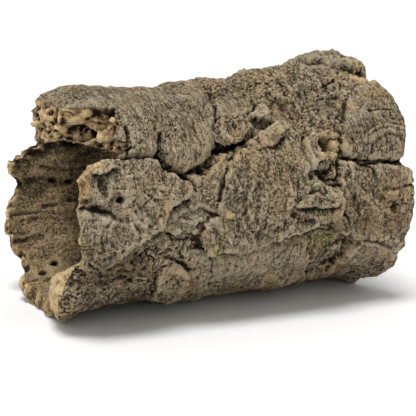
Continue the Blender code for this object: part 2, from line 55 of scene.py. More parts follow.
# The grid of the bark: columns round the tube, rows along its outside, its right edge, its
# inside and its left edge
COARSER = 1
COLUMNS = 600 // COARSER
OUTER_ROWS = 430 // COARSER
RIGHT_ROWS = 24 // COARSER
INNER_ROWS = 150 // COARSER
LEFT_ROWS = 44 // COARSER
OUTSIDE = np.s_[:, :OUTER_ROWS]
RIGHT_EDGE = np.s_[:, OUTER_ROWS:OUTER_ROWS + RIGHT_ROWS]
INSIDE = np.s_[:, OUTER_ROWS + RIGHT_ROWS:-LEFT_ROWS]
LEFT_EDGE = np.s_[:, -LEFT_ROWS:]
BARK_TRIANGLES = 196000

# Angles run round the tube in degrees: 0 faces -Y, 90 is the top, -90 the bottom.
# Where the bark ends on the left, outside and inside: (angle, x)
LEFT_OUTSIDE = [
    (-180, -138), (-172, -147), (-164, -153), (-156, -155), (-150, -154), (-144, -151),
    (-138, -146), (-128, -147), (-121, -156), (-115, -156), (-108, -152), (-100, -151),
    (-88, -151), (-74, -151), (-62, -157), (-50, -163), (-40, -165), (-30, -164),
    (-21, -157), (-8, -157), (2, -160), (8, -159), (11, -148), (22, -146), (27, -145),
    (31, -126), (34, -107), (37, -113), (40, -122), (46, -113), (56, -111), (60, -125),
    (63, -146), (75, -150), (86, -151), (97, -150), (102, -143), (108, -122), (125, -108),
    (145, -112), (152, -118), (158, -129), (162, -139), (166, -147), (173, -148),
    (177, -140),
]
LEFT_INSIDE = [
    (-180, -137), (-172, -146), (-164, -152), (-156, -154), (-150, -153), (-144, -150),
    (-138, -145), (-128, -146), (-121, -155), (-115, -154), (-108, -150), (-95, -150),
    (-80, -156), (-58, -163), (-42, -168), (-35, -166), (-29, -154), (-22, -150),
    (-10, -151), (5, -152), (10, -149), (24, -149), (28, -142), (33, -104), (38, -109),
    (44, -118), (50, -132), (58, -141), (65, -147), (80, -151), (92, -154), (101, -153),
    (105, -143), (110, -121), (125, -107), (145, -111), (152, -117), (158, -128),
    (162, -138), (166, -146), (173, -147), (177, -139),
]
# Where it ends on the right: (angle, x)
RIGHT_OUTSIDE = [
    (-180, 146), (-150, 149), (-120, 143), (-95, 150), (-75, 148), (-60, 155), (-48, 158),
    (-38, 154), (-25, 150), (-8, 152), (2, 150), (10, 148), (14, 145), (20, 143),
    (30, 147), (38, 149), (46, 148), (58, 145), (66, 150), (74, 153), (84, 152), (95, 150),
    (108, 146), (125, 142), (150, 144),
]
# The wall's thickness: (angle, mm)
WALL_ROUND = [
    (-180, 17), (-120, 16), (-85, 20), (-70, 23), (-40, 22), (-28, 18), (-10, 15), (15, 20),
    (27, 19), (34, 16), (45, 21), (60, 24), (80, 27), (98, 26), (108, 18), (140, 15),
]
# How much thinner the wall grows towards its left edge: (angle, share)
LEFT_TAPER = [
    (-180, 0.75), (-125, 0.65), (-95, 0.2), (-60, 0.0), (-28, 0.1), (-16, 0.7), (4, 0.7),
    (10, 0.1), (28, 0.1), (40, 0.0), (100, 0.0), (112, 0.6), (140, 0.75),
]
# The section's own swelling along the top and the underside: (x, mm)
TOP_SWELL = [(-150, -6), (-105, -7), (-64, -12), (-48, -15), (-32, -10), (-8, -5), (2, -4),
             (20, -8), (34, -7), (50, 0), (132, 3), (155, -4)]
LOW_SWELL = [(-150, 5), (-128, -3), (-100, -4), (-60, -2), (0, -5), (28, -4), (50, -2),
             (70, -6), (115, -7), (130, -6), (150, 2)]
# How far the top of the left end curls in, and how soon that dies away
CURL = 8.0
CURL_REACH = 12.0
# What is left of a drawn plate's step width, dome, overhang and roughness in the fine bark
EDGE_SHARE = 0.7
DOME_SHARE = 0.75
LEAN_SHARE = 0.85
ROUGH_SHARE = 0.75


class Plate:
    """A raised or sunk field of bark. Its outline is in (x, angle). It stands `lip` over the
    tube at its edge and rounds up to `top` within `dome`; `edge` is the width of its step,
    and `lean` how far the step hangs out over the bark beside it, most of all downwards."""

    def __init__(self, outline, top, lip, dome, edge=3.0, lean=2.0, rough=0.5, grain=0.0):
        self.outline = outline
        self.top = top
        self.lip = lip
        self.dome = DOME_SHARE * dome
        self.edge = EDGE_SHARE * edge
        self.lean = LEAN_SHARE * lean
        self.rough = ROUGH_SHARE * rough
        self.grain = grain


PLATES = [
    # Rough ground that shows between the plates
    Plate([(-170, -16), (-140, -14), (-118, -18), (-96, -8), (-84, -12), (-66, -18),
           (-60, -34), (-52, -60), (-60, -88), (-170, -88)], -1, -2, 20, 6, 0, 1.6),
    Plate([(42, -14), (70, -8), (86, -16), (104, -22), (98, -42), (88, -60), (74, -68),
           (60, -50), (50, -30)], -5, -3, 10, 5, 0, 1.8),
    Plate([(-22, 60), (10, 52), (50, 60), (90, 62), (108, 80), (100, 112), (20, 118),
           (-24, 108), (-16, 84)], 3, 1, 15, 6, 1, 1.8),
    Plate([(62, 34), (84, 32), (104, 46), (106, 62), (84, 66), (60, 60), (56, 44)],
          -3, -1, 12, 6, 0, 1.5),
    # Unseen side
    Plate([(-118, 122), (-70, 112), (-8, 118), (44, 126), (48, 150), (-18, 160),
           (-84, 158), (-126, 148)], 7, 2, 18, 4, 2, 0.8, 0.5),
    Plate([(30, 160), (58, 130), (120, 128), (156, 140), (160, 176), (110, 190),
           (52, 186)], 6, 1, 20, 4, 2, 0.8, 0.5),
    Plate([(-160, 168), (-90, 164), (-10, 166), (24, 176), (16, 206), (-60, 216),
           (-150, 206)], 5, 1, 16, 4, 3, 0.8, 0.3),
    Plate([(-160, 212), (-70, 220), (-20, 214), (10, 232), (-20, 262), (-160, 256)],
          6, 1, 16, 4, 2, 0.9, 0.3),
    Plate([(30, 200), (100, 198), (165, 190), (165, 236), (90, 246), (36, 232)],
          7, 1, 18, 4, 2, 0.8, 0.4),
    Plate([(0, 246), (40, 240), (165, 246), (165, 286), (70, 292), (-6, 276)],
          4, 0, 18, 4, 2, 0.8, 0.4),
    # Right end
    Plate([(102, 50), (120, 58), (150, 62), (170, 58), (172, 30), (168, 18), (140, 16),
           (111, 18), (82, 21), (84, 30), (100, 44)], 9, 0, 24, 3, 2, 0.4, 1.0),
    Plate([(78, 18), (111, 15), (140, 13), (170, 12), (172, -20), (150, -34), (112, -27),
           (96, -24), (83, -10), (71, 3)], 6, 2, 12, 3, 3, 0.7, 0.5),
    Plate([(94, -42), (98, -29), (113, -28), (145, -35), (170, -44), (170, -66),
           (124, -62), (98, -58)], 3, -1, 10, 3, 2, 0.7, 0.3),
    Plate([(106, 104), (110, 92), (119, 84), (134, 79), (150, 75), (176, 73), (176, 114),
           (140, 124), (110, 120)], 13, 4, 14, 3, 1, 1.3, 0.3),
    # Under the middle
    Plate([(-44, -20), (-11, -19), (6, -17), (44, -12), (54, -28), (68, -48), (76, -66),
           (60, -86), (-10, -86), (-26, -66), (-30, -52)], 3, -4, 14, 4, 1, 0.4, 1.0),
    Plate([(-70, -17), (-48, -18), (-40, -28), (-27, -52), (-33, -70), (-52, -66),
           (-55, -42)], 2, 0, 6, 3, 2, 0.7, 0.6),
    Plate([(-24, -60), (-10, -62), (-6, -74), (-12, -90), (-26, -90), (-29, -72)],
          4, 1, 8, 3, 2, 1.2),
    Plate([(-84, -32), (-74, -25), (-58, -32), (-50, -46), (-52, -62), (-80, -58)],
          4, 1, 6, 3, 2, 0.5, 0.3),
    # Left: the rolled lobe along the top, then the panel in front of the opening
    Plate([(-185, 108), (-170, 56), (-130, 34), (-113, 31), (-92, 30), (-84, 33),
           (-81, 26), (-71, 21), (-60, 21), (-51, 23), (-43, 26), (-33, 32), (-27, 47),
           (-16, 62), (-10, 84), (-18, 104), (-60, 112), (-110, 112)],
          9, -3, 26, 3, 1, 0.4, 1.0),
    Plate([(-180, 24), (-152, 23), (-144, 28), (-133, 30), (-113, 29), (-92, 28),
           (-85, 24), (-71, 20), (-60, 12), (-66, 8), (-80, 6), (-82, -2), (-96, -7),
           (-111, -14), (-124, -18), (-142, -21), (-180, -22)],
          7, 2.5, 9, 3, 2.5, 0.7, 0.3),
    Plate([(-64, 20), (-50, 18), (-37, 24), (-26, 22), (-34, 10), (-32, 2), (-43, -3),
           (-56, -1), (-66, 5)], 4, 2, 6, 2.5, 2, 0.8, 0.2),
    Plate([(-82, 1), (-68, 4), (-55, -1), (-44, -5), (-46, -10), (-60, -12),
           (-80, -11)], 1, 0, 5, 2.5, 2, 0.6, 0.3),
    Plate([(-74, -1), (-58, -2), (-47, -7), (-60, -9), (-72, -6)], 3.5, 2.5, 3, 2, 2, 0.4),
    Plate([(-93, -10), (-84, -8), (-80, -12), (-89, -16)], 3, 1, 3, 2, 2, 0.4),
    # Middle: the broad plate and what lies over its upper edge
    Plate([(-18, 29), (-29, 22), (-38, 11), (-44, -1), (-55, -6), (-57, -15),
           (-38, -21), (-11, -20), (6, -17), (33, -14), (54, -11), (72, -7), (76, 0),
           (70, 6), (57, 8), (46, 15), (42, 20), (44, 31), (34, 38), (12, 36)],
          9, 6, 10, 3, 6, 0.7, 0.2),
    Plate([(27, -2), (34, 3), (50, 5), (72, 6), (76, 1), (71, -6), (54, -8), (36, -6)],
          12, 9, 7, 5, 2, 0.6, 0.2),
    Plate([(-20, 27), (-2, 32), (12, 37), (28, 41), (38, 38), (29, 32), (16, 29),
           (0, 26)], 8.5, 5, 4, 2.5, 1.5, 0.5, 0.3),
    Plate([(45, 31), (58, 33), (58, 25), (53, 18), (47, 14), (44, 21)],
          7, 4, 5, 2, 1, 0.3, 0.2),
    Plate([(-18, 62), (2, 63), (17, 60), (10, 50), (-2, 47), (-24, 48)],
          5, 2, 6, 2.5, 2, 0.3, 1.0),
    Plate([(-32, 41), (-22, 48), (-8, 47), (2, 45), (1, 40), (-7, 35), (-15, 32),
           (-29, 32)], 7, 3, 6, 2.5, 4, 0.9),
    Plate([(3, 46), (17, 52), (28, 53), (37, 48), (50, 41), (30, 42), (13, 43)],
          7, 4, 5, 2.5, 2, 0.5),
    Plate([(24, 55), (40, 58), (60, 53), (57, 43), (46, 38), (28, 40), (21, 46)],
          -4, 0, 8, 4, 0, 0.8),
    Plate([(70, -8), (75, -7), (88, -17), (84, -20), (74, -15)], 6, 4, 3, 2, 1, 0.4),
]

# Cracks and grooves: points in (x, angle), depth, half width
CRACKS = [
    ([(-108, 45), (-109, 39), (-110, 33)], 4.5, 1.6),
    ([(-82, 39), (-84, 35), (-86, 31)], 5.0, 1.8),
    ([(-128, 33), (-113, 31), (-92, 29), (-86, 29), (-80, 23), (-70, 19.5)], 6.0, 2.6),
    ([(-70, 19.5), (-60, 20), (-50, 21), (-42, 25), (-33, 30), (-29, 38)], 6.0, 3.0),
    ([(-29, 38), (-26, 48), (-15, 63), (-9, 80)], 3.5, 2.6),
    ([(-70, 21), (-65, 16), (-60, 12)], 4.5, 2.0),
    ([(-165, 10), (-158, 9.5), (-146, 8), (-132, 5)], 8.0, 3.0),
    ([(-33, 30), (-24, 30), (-12, 29)], 6.0, 3.5),
    ([(43, 31), (41, 24), (44, 18), (46, 14)], 6.5, 2.0),
    ([(42, 13), (50, 10), (60, 9)], 4.0, 3.0),
    ([(80, 20), (96, 18), (111, 17), (141, 15), (170, 15)], 5.0, 3.0),
    ([(102, 16), (108, 11)], 3.0, 1.2),
    ([(140, 3), (165, 3)], 3.0, 1.2),
    ([(118, 41), (138, 41), (152, 37)], 1.8, 1.2),
    ([(102, 92), (112, 82), (128, 79), (144, 74), (160, 73)], 2.0, 2.2),
    ([(-50, -4), (-30, -23), (-8, -22), (20, -19), (48, -14), (72, -9)], 2.5, 3.0),
    ([(-78, -25), (-66, -29), (-56, -34)], 3.0, 1.6),
    ([(1, 42), (14, 41), (25, 43)], 3.5, 2.5),
    ([(-100, -18), (-112, -22), (-126, -24)], 3.0, 4.0),
]
# Pits: (x, angle), depth, radius along, radius round
PITS = [
    ((-124, 11), 8.0, 3.2, 3.2),
    ((68, 27), 15.0, 7.0, 6.5),
    ((97, 56), 8.0, 7.5, 4.0),
    ((131, -7), 6.5, 5.0, 5.0),
    ((94, -27), 7.0, 5.0, 9.0),
    ((49, 46), 3.0, 2.5, 2.5),
    ((-88, -5), 6.0, 7.0, 4.5),
    ((-76, 5), 5.0, 6.0, 3.0),
    ((44, 13), 4.0, 6.0, 5.0),
    ((-111, -36), 4.0, 7.0, 3.0),
    ((-137, 17), 4.0, 4.0, 8.0),
]
# The same on the inside of the wall
INNER_CRACKS = [
    ([(-150, -163), (-131, -163), (-112, -166), (-80, -170)], 1.8, 2.5),
    ([(-146, -117), (-126, -113), (-100, -116)], 1.35, 2.0),
    ([(-120, 168), (-96, 172), (-60, 168)], 1.35, 3.0),
    ([(-60, -150), (10, -145), (70, -152)], 1.35, 3.0),
    ([(0, 40), (60, 46), (130, 40)], 1.35, 3.0),
    ([(20, -60), (80, -52), (140, -58)], 1.35, 3.0),
]
INNER_PITS = [
    ((-110, 178), 5.0, 3.0, 3.0),
    ((-95, 179), 4.0, 4.0, 3.0),
    ((-91, 154), 6.0, 12.0, 6.0),
    ((-123, -127), 6.0, 3.0, 4.0),
    ((-136, -122), 5.0, 3.5, 3.5),
    ((60, -120), 5.0, 4.0, 4.0),
    ((100, 120), 5.0, 5.0, 4.0),
]


def step(low, high, value):
    t = np.clip((value - low) / (high - low), 0.0, 1.0)
    return t * t * (3.0 - 2.0 * t)


def hashed(i, j, k, seed):
    """A fixed number from -1 to 1 for each lattice point."""
    h = (i * 374761393 + j * 668265263 + k * 1440662683 + seed * 974634777) & 0xFFFFFFFF
    h = ((h ^ (h >> 13)) * 1274126177) & 0xFFFFFFFF
    h = ((h ^ (h >> 16)) * 668265263) & 0xFFFFFFFF
    h = h ^ (h >> 15)
    return h / 2147483647.5 - 1.0


def noise(p, seed):
    """Smooth noise from -1 to 1 over points p."""
    cell = np.floor(p).astype(np.int64)
    f = p - cell
    f = f * f * f * (f * (f * 6.0 - 15.0) + 10.0)
    total = 0.0
    for a in (0, 1):
        wx = f[..., 0] if a else 1.0 - f[..., 0]
        for b in (0, 1):
            wy = f[..., 1] if b else 1.0 - f[..., 1]
            for c in (0, 1):
                wz = f[..., 2] if c else 1.0 - f[..., 2]
                corner = hashed(cell[..., 0] + a, cell[..., 1] + b, cell[..., 2] + c, seed)
                total = total + wx * wy * wz * corner
    return total


TURN = np.array([[0.80, 0.36, -0.48], [-0.60, 0.48, -0.64], [0.00, 0.80, 0.60]])


def layered(p, seed, octaves=4, gain=0.5, ridged=False):
    """Noise in octaves, each turned so that no lattice shows. Ridged noise has sharp crests."""
    total = 0.0
    weight = 1.0
    norm = 0.0
    for n in range(octaves):
        value = noise(p, seed + n)
        if ridged:
            value = 1.0 - 2.0 * np.abs(value)
        total = total + weight * value
        norm += weight
        weight *= gain
        p = p @ TURN.T * 2.03
    return total / norm


def drawn_out(points, along, across):
    """The points scaled along the tube and across it."""
    return points * np.array([along, across, across])


def terraced(value, count):
    """A value cut into steps, like bark that has come away in layers."""
    value = value * count
    whole = np.floor(value)
    return (whole + step(0.40, 0.60, value - whole)) / count


def cells(p, seed):
    """Distance to the border between irregular cells, and a fixed number for each cell."""
    home = np.floor(p).astype(np.int64)
    first = np.full(p.shape[:-1], 9.0)
    second = np.full(p.shape[:-1], 9.0)
    label = np.zeros(p.shape[:-1])
    for a in (-1, 0, 1):
        for b in (-1, 0, 1):
            for c in (-1, 0, 1):
                i, j, k = home[..., 0] + a, home[..., 1] + b, home[..., 2] + c
                dx = i + 0.5 + 0.42 * hashed(i, j, k, seed) - p[..., 0]
                dy = j + 0.5 + 0.42 * hashed(i, j, k, seed + 1) - p[..., 1]
                dz = k + 0.5 + 0.42 * hashed(i, j, k, seed + 2) - p[..., 2]
                d = np.sqrt(dx * dx + dy * dy + dz * dz)
                nearer = d < first
                second = np.where(nearer, first, np.minimum(second, d))
                label = np.where(nearer, hashed(i, j, k, seed + 3), label)
                first = np.where(nearer, d, first)
    return second - first, label


def turned(angle):
    """An angle brought to -180..180."""
    return (angle + 180.0) % 360.0 - 180.0


def round_table(table, angle):
    """A table in (angle, value), read round the tube."""
    degrees, values = zip(*table)
    return np.interp(angle, degrees, values, period=360.0)


def along_table(table, x):
    places, values = zip(*table)
    return np.interp(x, places, values)


def place(x, angle, radius):
    a = np.radians(angle)
    return np.stack([x, -radius * np.cos(a), radius * np.sin(a)], axis=-1)


def segment_offset(u, v, a, b):
    """The offset of points (u, v) from their nearest points on the segment a to b."""
    du, dv = b[0] - a[0], b[1] - a[1]
    t = ((u - a[0]) * du + (v - a[1]) * dv) / max(du * du + dv * dv, 1e-9)
    t = np.clip(t, 0.0, 1.0)
    return u - a[0] - t * du, v - a[1] - t * dv


def outline_distance(u, v, corners):
    """Distance inside a closed outline, negative outside, and the direction outwards."""
    best = np.full(u.shape, 1e9)
    bu = np.zeros(u.shape)
    bv = np.zeros(u.shape)
    inside = np.zeros(u.shape, bool)
    for a, b in zip(corners, corners[1:] + corners[:1]):
        ou, ov = segment_offset(u, v, a, b)
        d = ou * ou + ov * ov
        nearer = d < best
        best = np.where(nearer, d, best)
        bu = np.where(nearer, ou, bu)
        bv = np.where(nearer, ov, bv)
        if a[1] != b[1]:
            crossing = a[0] + (v - a[1]) * (b[0] - a[0]) / (b[1] - a[1])
            inside ^= ((a[1] > v) != (b[1] > v)) & (u < crossing)
    d = np.sqrt(best)
    sign = np.where(inside, -1.0, 1.0)
    scale = sign / np.maximum(d, 1e-6)
    return np.where(inside, d, -d), bu * scale, bv * scale


def line_distance(u, v, points):
    best = np.full(u.shape, 1e9)
    for a, b in zip(points, points[1:]):
        ou, ov = segment_offset(u, v, a, b)
        best = np.minimum(best, ou * ou + ov * ov)
    return np.sqrt(best)


def flattened(corners, angle):
    """Drawn corners in millimetres, and how far round the tube angles lie from them."""
    middle = sum(corner[1] for corner in corners) / len(corners)
    return [(x, ARC * (degrees - middle)) for x, degrees in corners], ARC * turned(angle - middle)


def close_to(u, v, corners, margin):
    """Which points lie within a margin of the box round some corners."""
    us, vs = zip(*corners)
    along = (u > min(us) - margin) & (u < max(us) + margin)
    return along & (v > min(vs) - margin) & (v < max(vs) + margin)


def carve(height, u, angle, cracks, pits, wander):
    """Cuts the cracks and the pits into a height over points (u, angle)."""
    for points, depth, width in cracks:
        line, v = flattened(points, angle)
        d = line_distance(u + wander[0], v + wander[1], line)
        height = height - depth * np.exp(-((d / width) ** 2))
    for (x, degrees), depth, along, across in pits:
        v = ARC * turned(angle - degrees)
        d = np.hypot((u + wander[0] * 0.5 - x) / along, (v + wander[1] * 0.5) / across)
        height = height - depth * (1.0 - step(0.45, 1.25, d))
    return height


def wandering(p):
    """How far outlines and cracks stray from their drawn lines, along the tube and round it."""
    along = 3.0 * layered(p / 14.0, 11, 3) + 2.4 * layered(p / 6.5, 14, 4, 0.65)
    across = 3.0 * layered(p / 14.0, 21, 3) + 2.4 * layered(p / 6.5, 24, 4, 0.65)
    return along, across


def over_plate(plate, x, angle, stray):
    """Which points are on or near a plate, how much it covers them, their distance inside
    its outline and the direction outwards."""
    corners, v = flattened(plate.outline, angle)
    near = close_to(x, v, corners, 9.0)
    d, out_u, out_v = outline_distance(x[near] + stray[0][near], v[near] + stray[1][near], corners)
    return near, step(-0.5 * plate.edge, 0.5 * plate.edge, d), d, out_u, out_v


def outer_relief(x, angle):
    """Height of the bark over the tube, and how far it leans along x and round the tube."""
    p = place(x, angle, ARC_RADIUS)
    stray = wandering(p)
    crust = layered(p / 9.0, 31, 4, 0.55, ridged=True)
    lumps = layered(p / 26.0, 41, 3)
    layers = terraced(layered(p / 24.0, 45, 4, 0.5), 5.0)
    chips = terraced(layered(p / 12.0, 47, 4, 0.6), 2.5)
    lines = layered(drawn_out(p, 0.30, 0.04), 51, 2)
    swirl = 1.8 * np.stack([stray[0], stray[1], stray[0]], axis=-1)
    border, label = cells((p + swirl) / drawn_out(np.ones(3), 30.0, 21.0), 61)
    height = 1.0 + 2.0 * label + 1.5 * lumps + 2.0 * crust + 2.0 * layers + 1.8 * chips
    height = height - 4.0 * (1.0 - step(0.02, 0.20, border))
    lean_u = np.zeros(x.shape)
    lean_v = np.zeros(x.shape)
    for plate in PLATES:
        near, cover, d, out_u, out_v = over_plate(plate, x, angle, stray)
        t = 1.0 - np.clip(d / plate.dome, 0.0, 1.0)
        rise = plate.lip + (plate.top - plate.lip) * np.sqrt(1.0 - t * t)
        rise = rise + (0.4 + plate.rough) * crust[near] + 1.2 * lumps[near]
        rise = rise + 3.2 * layers[near] + (0.8 + 1.6 * plate.rough) * chips[near]
        rise = rise + 0.7 * plate.grain * lines[near]
        height[near] += (rise - height[near]) * cover
        push = plate.lean * (0.35 + 0.65 * np.clip(-out_v, 0.0, 1.0))
        push = push * step(-0.1 * plate.edge, 0.9 * plate.edge, d) * (1.0 - step(3.0, 13.0, d))
        lean_u[near] = lean_u[near] * (1.0 - cover) + push * out_u
        lean_v[near] = lean_v[near] * (1.0 - cover) + push * out_v
    height = carve(height, x, angle, CRACKS, PITS, (0.5 * stray[0], 0.5 * stray[1]))
    return height, lean_u, lean_v


def tube_radius(x, angle):
    radius = LEFT_RADIUS + (RIGHT_RADIUS - LEFT_RADIUS) * (x + HALF_LENGTH) / (2 * HALF_LENGTH)
    radius = radius + along_table(TOP_SWELL, x) * step(60.0, 0.0, np.abs(turned(angle - 96.0)))
    radius = radius + along_table(LOW_SWELL, x) * step(60.0, 0.0, np.abs(turned(angle + 72.0)))
    return radius


def curled(angle, to_left):
    at_top = step(50.0, 78.0, angle) * step(128.0, 108.0, angle)
    return CURL * at_top * np.exp(-np.maximum(to_left, 0.0) / CURL_REACH)


def outer_surface(x, angle, to_left, to_right):
    height, lean_u, lean_v = outer_relief(x, angle)
    free = step(0.0, 9.0, to_left) * step(0.0, 9.0, to_right)
    edge = np.minimum(to_left, to_right)
    round_off = 1.8 * np.exp(-edge / 2.5)
    radius = tube_radius(x, angle) + height - round_off - curled(angle, to_left)
    return x + lean_u * free, angle + lean_v * free / ARC, radius


def inner_radius(x, angle, to_left, outer):
    """The inside of the wall: grooved along the tube, thin towards the broken left end."""
    p = place(x, angle, ARC_RADIUS)
    wall = round_table(WALL_ROUND, angle) - 1.5
    thinner = round_table(LEFT_TAPER, angle) * (1.0 - step(0.0, 45.0, to_left))
    wall = wall * (1.0 - thinner)
    wall = wall + 2.2 * layered(drawn_out(p, 0.012, 0.045), 71, 3)
    grooves = layered(drawn_out(p, 0.02, 0.16), 81, 3, 0.6, ridged=True)
    height = -wall - 0.9 * grooves - 0.8 * layered(p / 11.0, 91, 3)
    wander = (1.5 * noise(p / 7.0, 95), 1.5 * noise(p / 7.0, 96))
    height = -carve(-height, x, angle, INNER_CRACKS, INNER_PITS, wander)
    radius = tube_radius(x, angle) + height - curled(angle, to_left)
    return np.minimum(radius, outer - THINNEST_WALL)


def jag(x, angle, seed):
    """The broken edge: long splinters and small teeth."""
    p = place(np.full(np.shape(angle), x), angle, ARC_RADIUS)
    return 3.4 * layered(p / 10.0, seed, 3, 0.6) + 0.35 * noise(p / 2.6, seed + 7)


def between(x, left, right):
    """Places along the tube, with those past an end gathered up just inside it."""
    d = x - left
    x = left + np.where(d > 3.0, d, 9.0 / (6.0 - np.minimum(d, 3.0)))
    d = right - x
    return right - np.where(d > 3.0, d, 9.0 / (6.0 - np.minimum(d, 3.0)))


def column_angles():
    """Angles round the tube, closer together in front than behind."""
    turn = 2.0 * np.pi * np.arange(COLUMNS) / COLUMNS
    return turned(-np.degrees(turn - 0.45 * np.sin(turn + np.radians(25.0))))


def bark_points():
    """A grid of points, one closed loop of rows for each angle: along the outside to the
    right, over the right edge, back along the inside and over the left edge."""
    angles = column_angles()
    outer_x = np.linspace(-REACH, REACH, OUTER_ROWS)
    inner_x = np.linspace(REACH, -REACH, INNER_ROWS)
    slab = step(-76.0, -60.0, angles) * step(-10.0, -24.0, angles)
    uneven = 0.75 - 0.5 * slab
    left = round_table(LEFT_OUTSIDE, angles) + uneven * jag(-150.0, angles, 101)
    left_in = round_table(LEFT_INSIDE, angles) + uneven * jag(-150.0, angles, 121) + 1.0
    right = round_table(RIGHT_OUTSIDE, angles) + 0.4 * jag(150.0, angles, 141)
    right_in = right - 3.0 + 0.2 * jag(150.0, angles, 161)
    x = between(outer_x[None, :], left[:, None], right[:, None])
    a = np.broadcast_to(angles[:, None], x.shape)
    ox, oa, outer = outer_surface(x, a, x - left[:, None], right[:, None] - x)
    ix = between(inner_x[None, :], left_in[:, None], right_in[:, None])
    b = np.broadcast_to(angles[:, None], ix.shape)
    covered = np.stack([np.interp(ix[n], x[n], outer[n]) for n in range(len(angles))])
    inner = inner_radius(ix, b, ix - left_in[:, None], covered)
    outside = place(ox, oa, outer)
    inside = place(ix, b, inner)
    right_edge = broken_edge(outside[:, -1], inside[:, 0], RIGHT_ROWS, 1.0, angles, 171)
    left_edge = broken_edge(inside[:, -1], outside[:, 0], LEFT_ROWS, -1.0, angles, 181)
    return np.concatenate([outside, right_edge, inside, left_edge], axis=1)


def broken_edge(start, end, rows, way, angles, seed):
    """The face across the wall where the bark broke off: bulged, torn and holed."""
    fractions = np.linspace(0.0, 1.0, rows + 2)[1:-1]
    t = fractions[None, :, None]
    face = start[:, None] * (1.0 - t) + end[:, None] * t
    crown = np.sqrt(np.sin(np.pi * fractions))[None]
    rough = 1.2 + 1.2 * layered(face / 5.0, seed, 3, 0.6)
    if way < 0:
        torn = step(26.0, 36.0, angles) * step(112.0, 100.0, angles)
        slab = step(-66.0, -52.0, angles) * step(-20.0, -28.0, angles)
        clefts = layered(face / 10.0, seed + 9, 3, 0.6, ridged=True) - 0.25
        rough = rough + (6.0 * torn + 3.0 * slab)[:, None] * clefts
        hollow = step(36.0, 44.0, angles) * step(64.0, 56.0, angles)
        rough = rough - 8.0 * hollow[:, None]
        shred = [noise(face / 6.5, seed + 20 + n) for n in range(3)]
        shred = np.stack(shred, axis=-1) * (0.8 + 3.0 * torn[:, None, None])
        face = face + shred * crown[..., None]
    face[..., 0] += way * rough * crown
    return face


def tilted(points):
    x, y, z = points[..., 0], points[..., 1], points[..., 2]
    c, s = np.cos(TILT), np.sin(TILT)
    return np.stack([c * x + s * z, y, c * z - s * x], axis=-1)


def stood(points):
    """The points as the tube stands, with its lowest bark pressed flat."""
    points = tilted(points) + MOVE
    points[..., 2] = np.maximum(points[..., 2], 0.0)
    return points


# The fine look

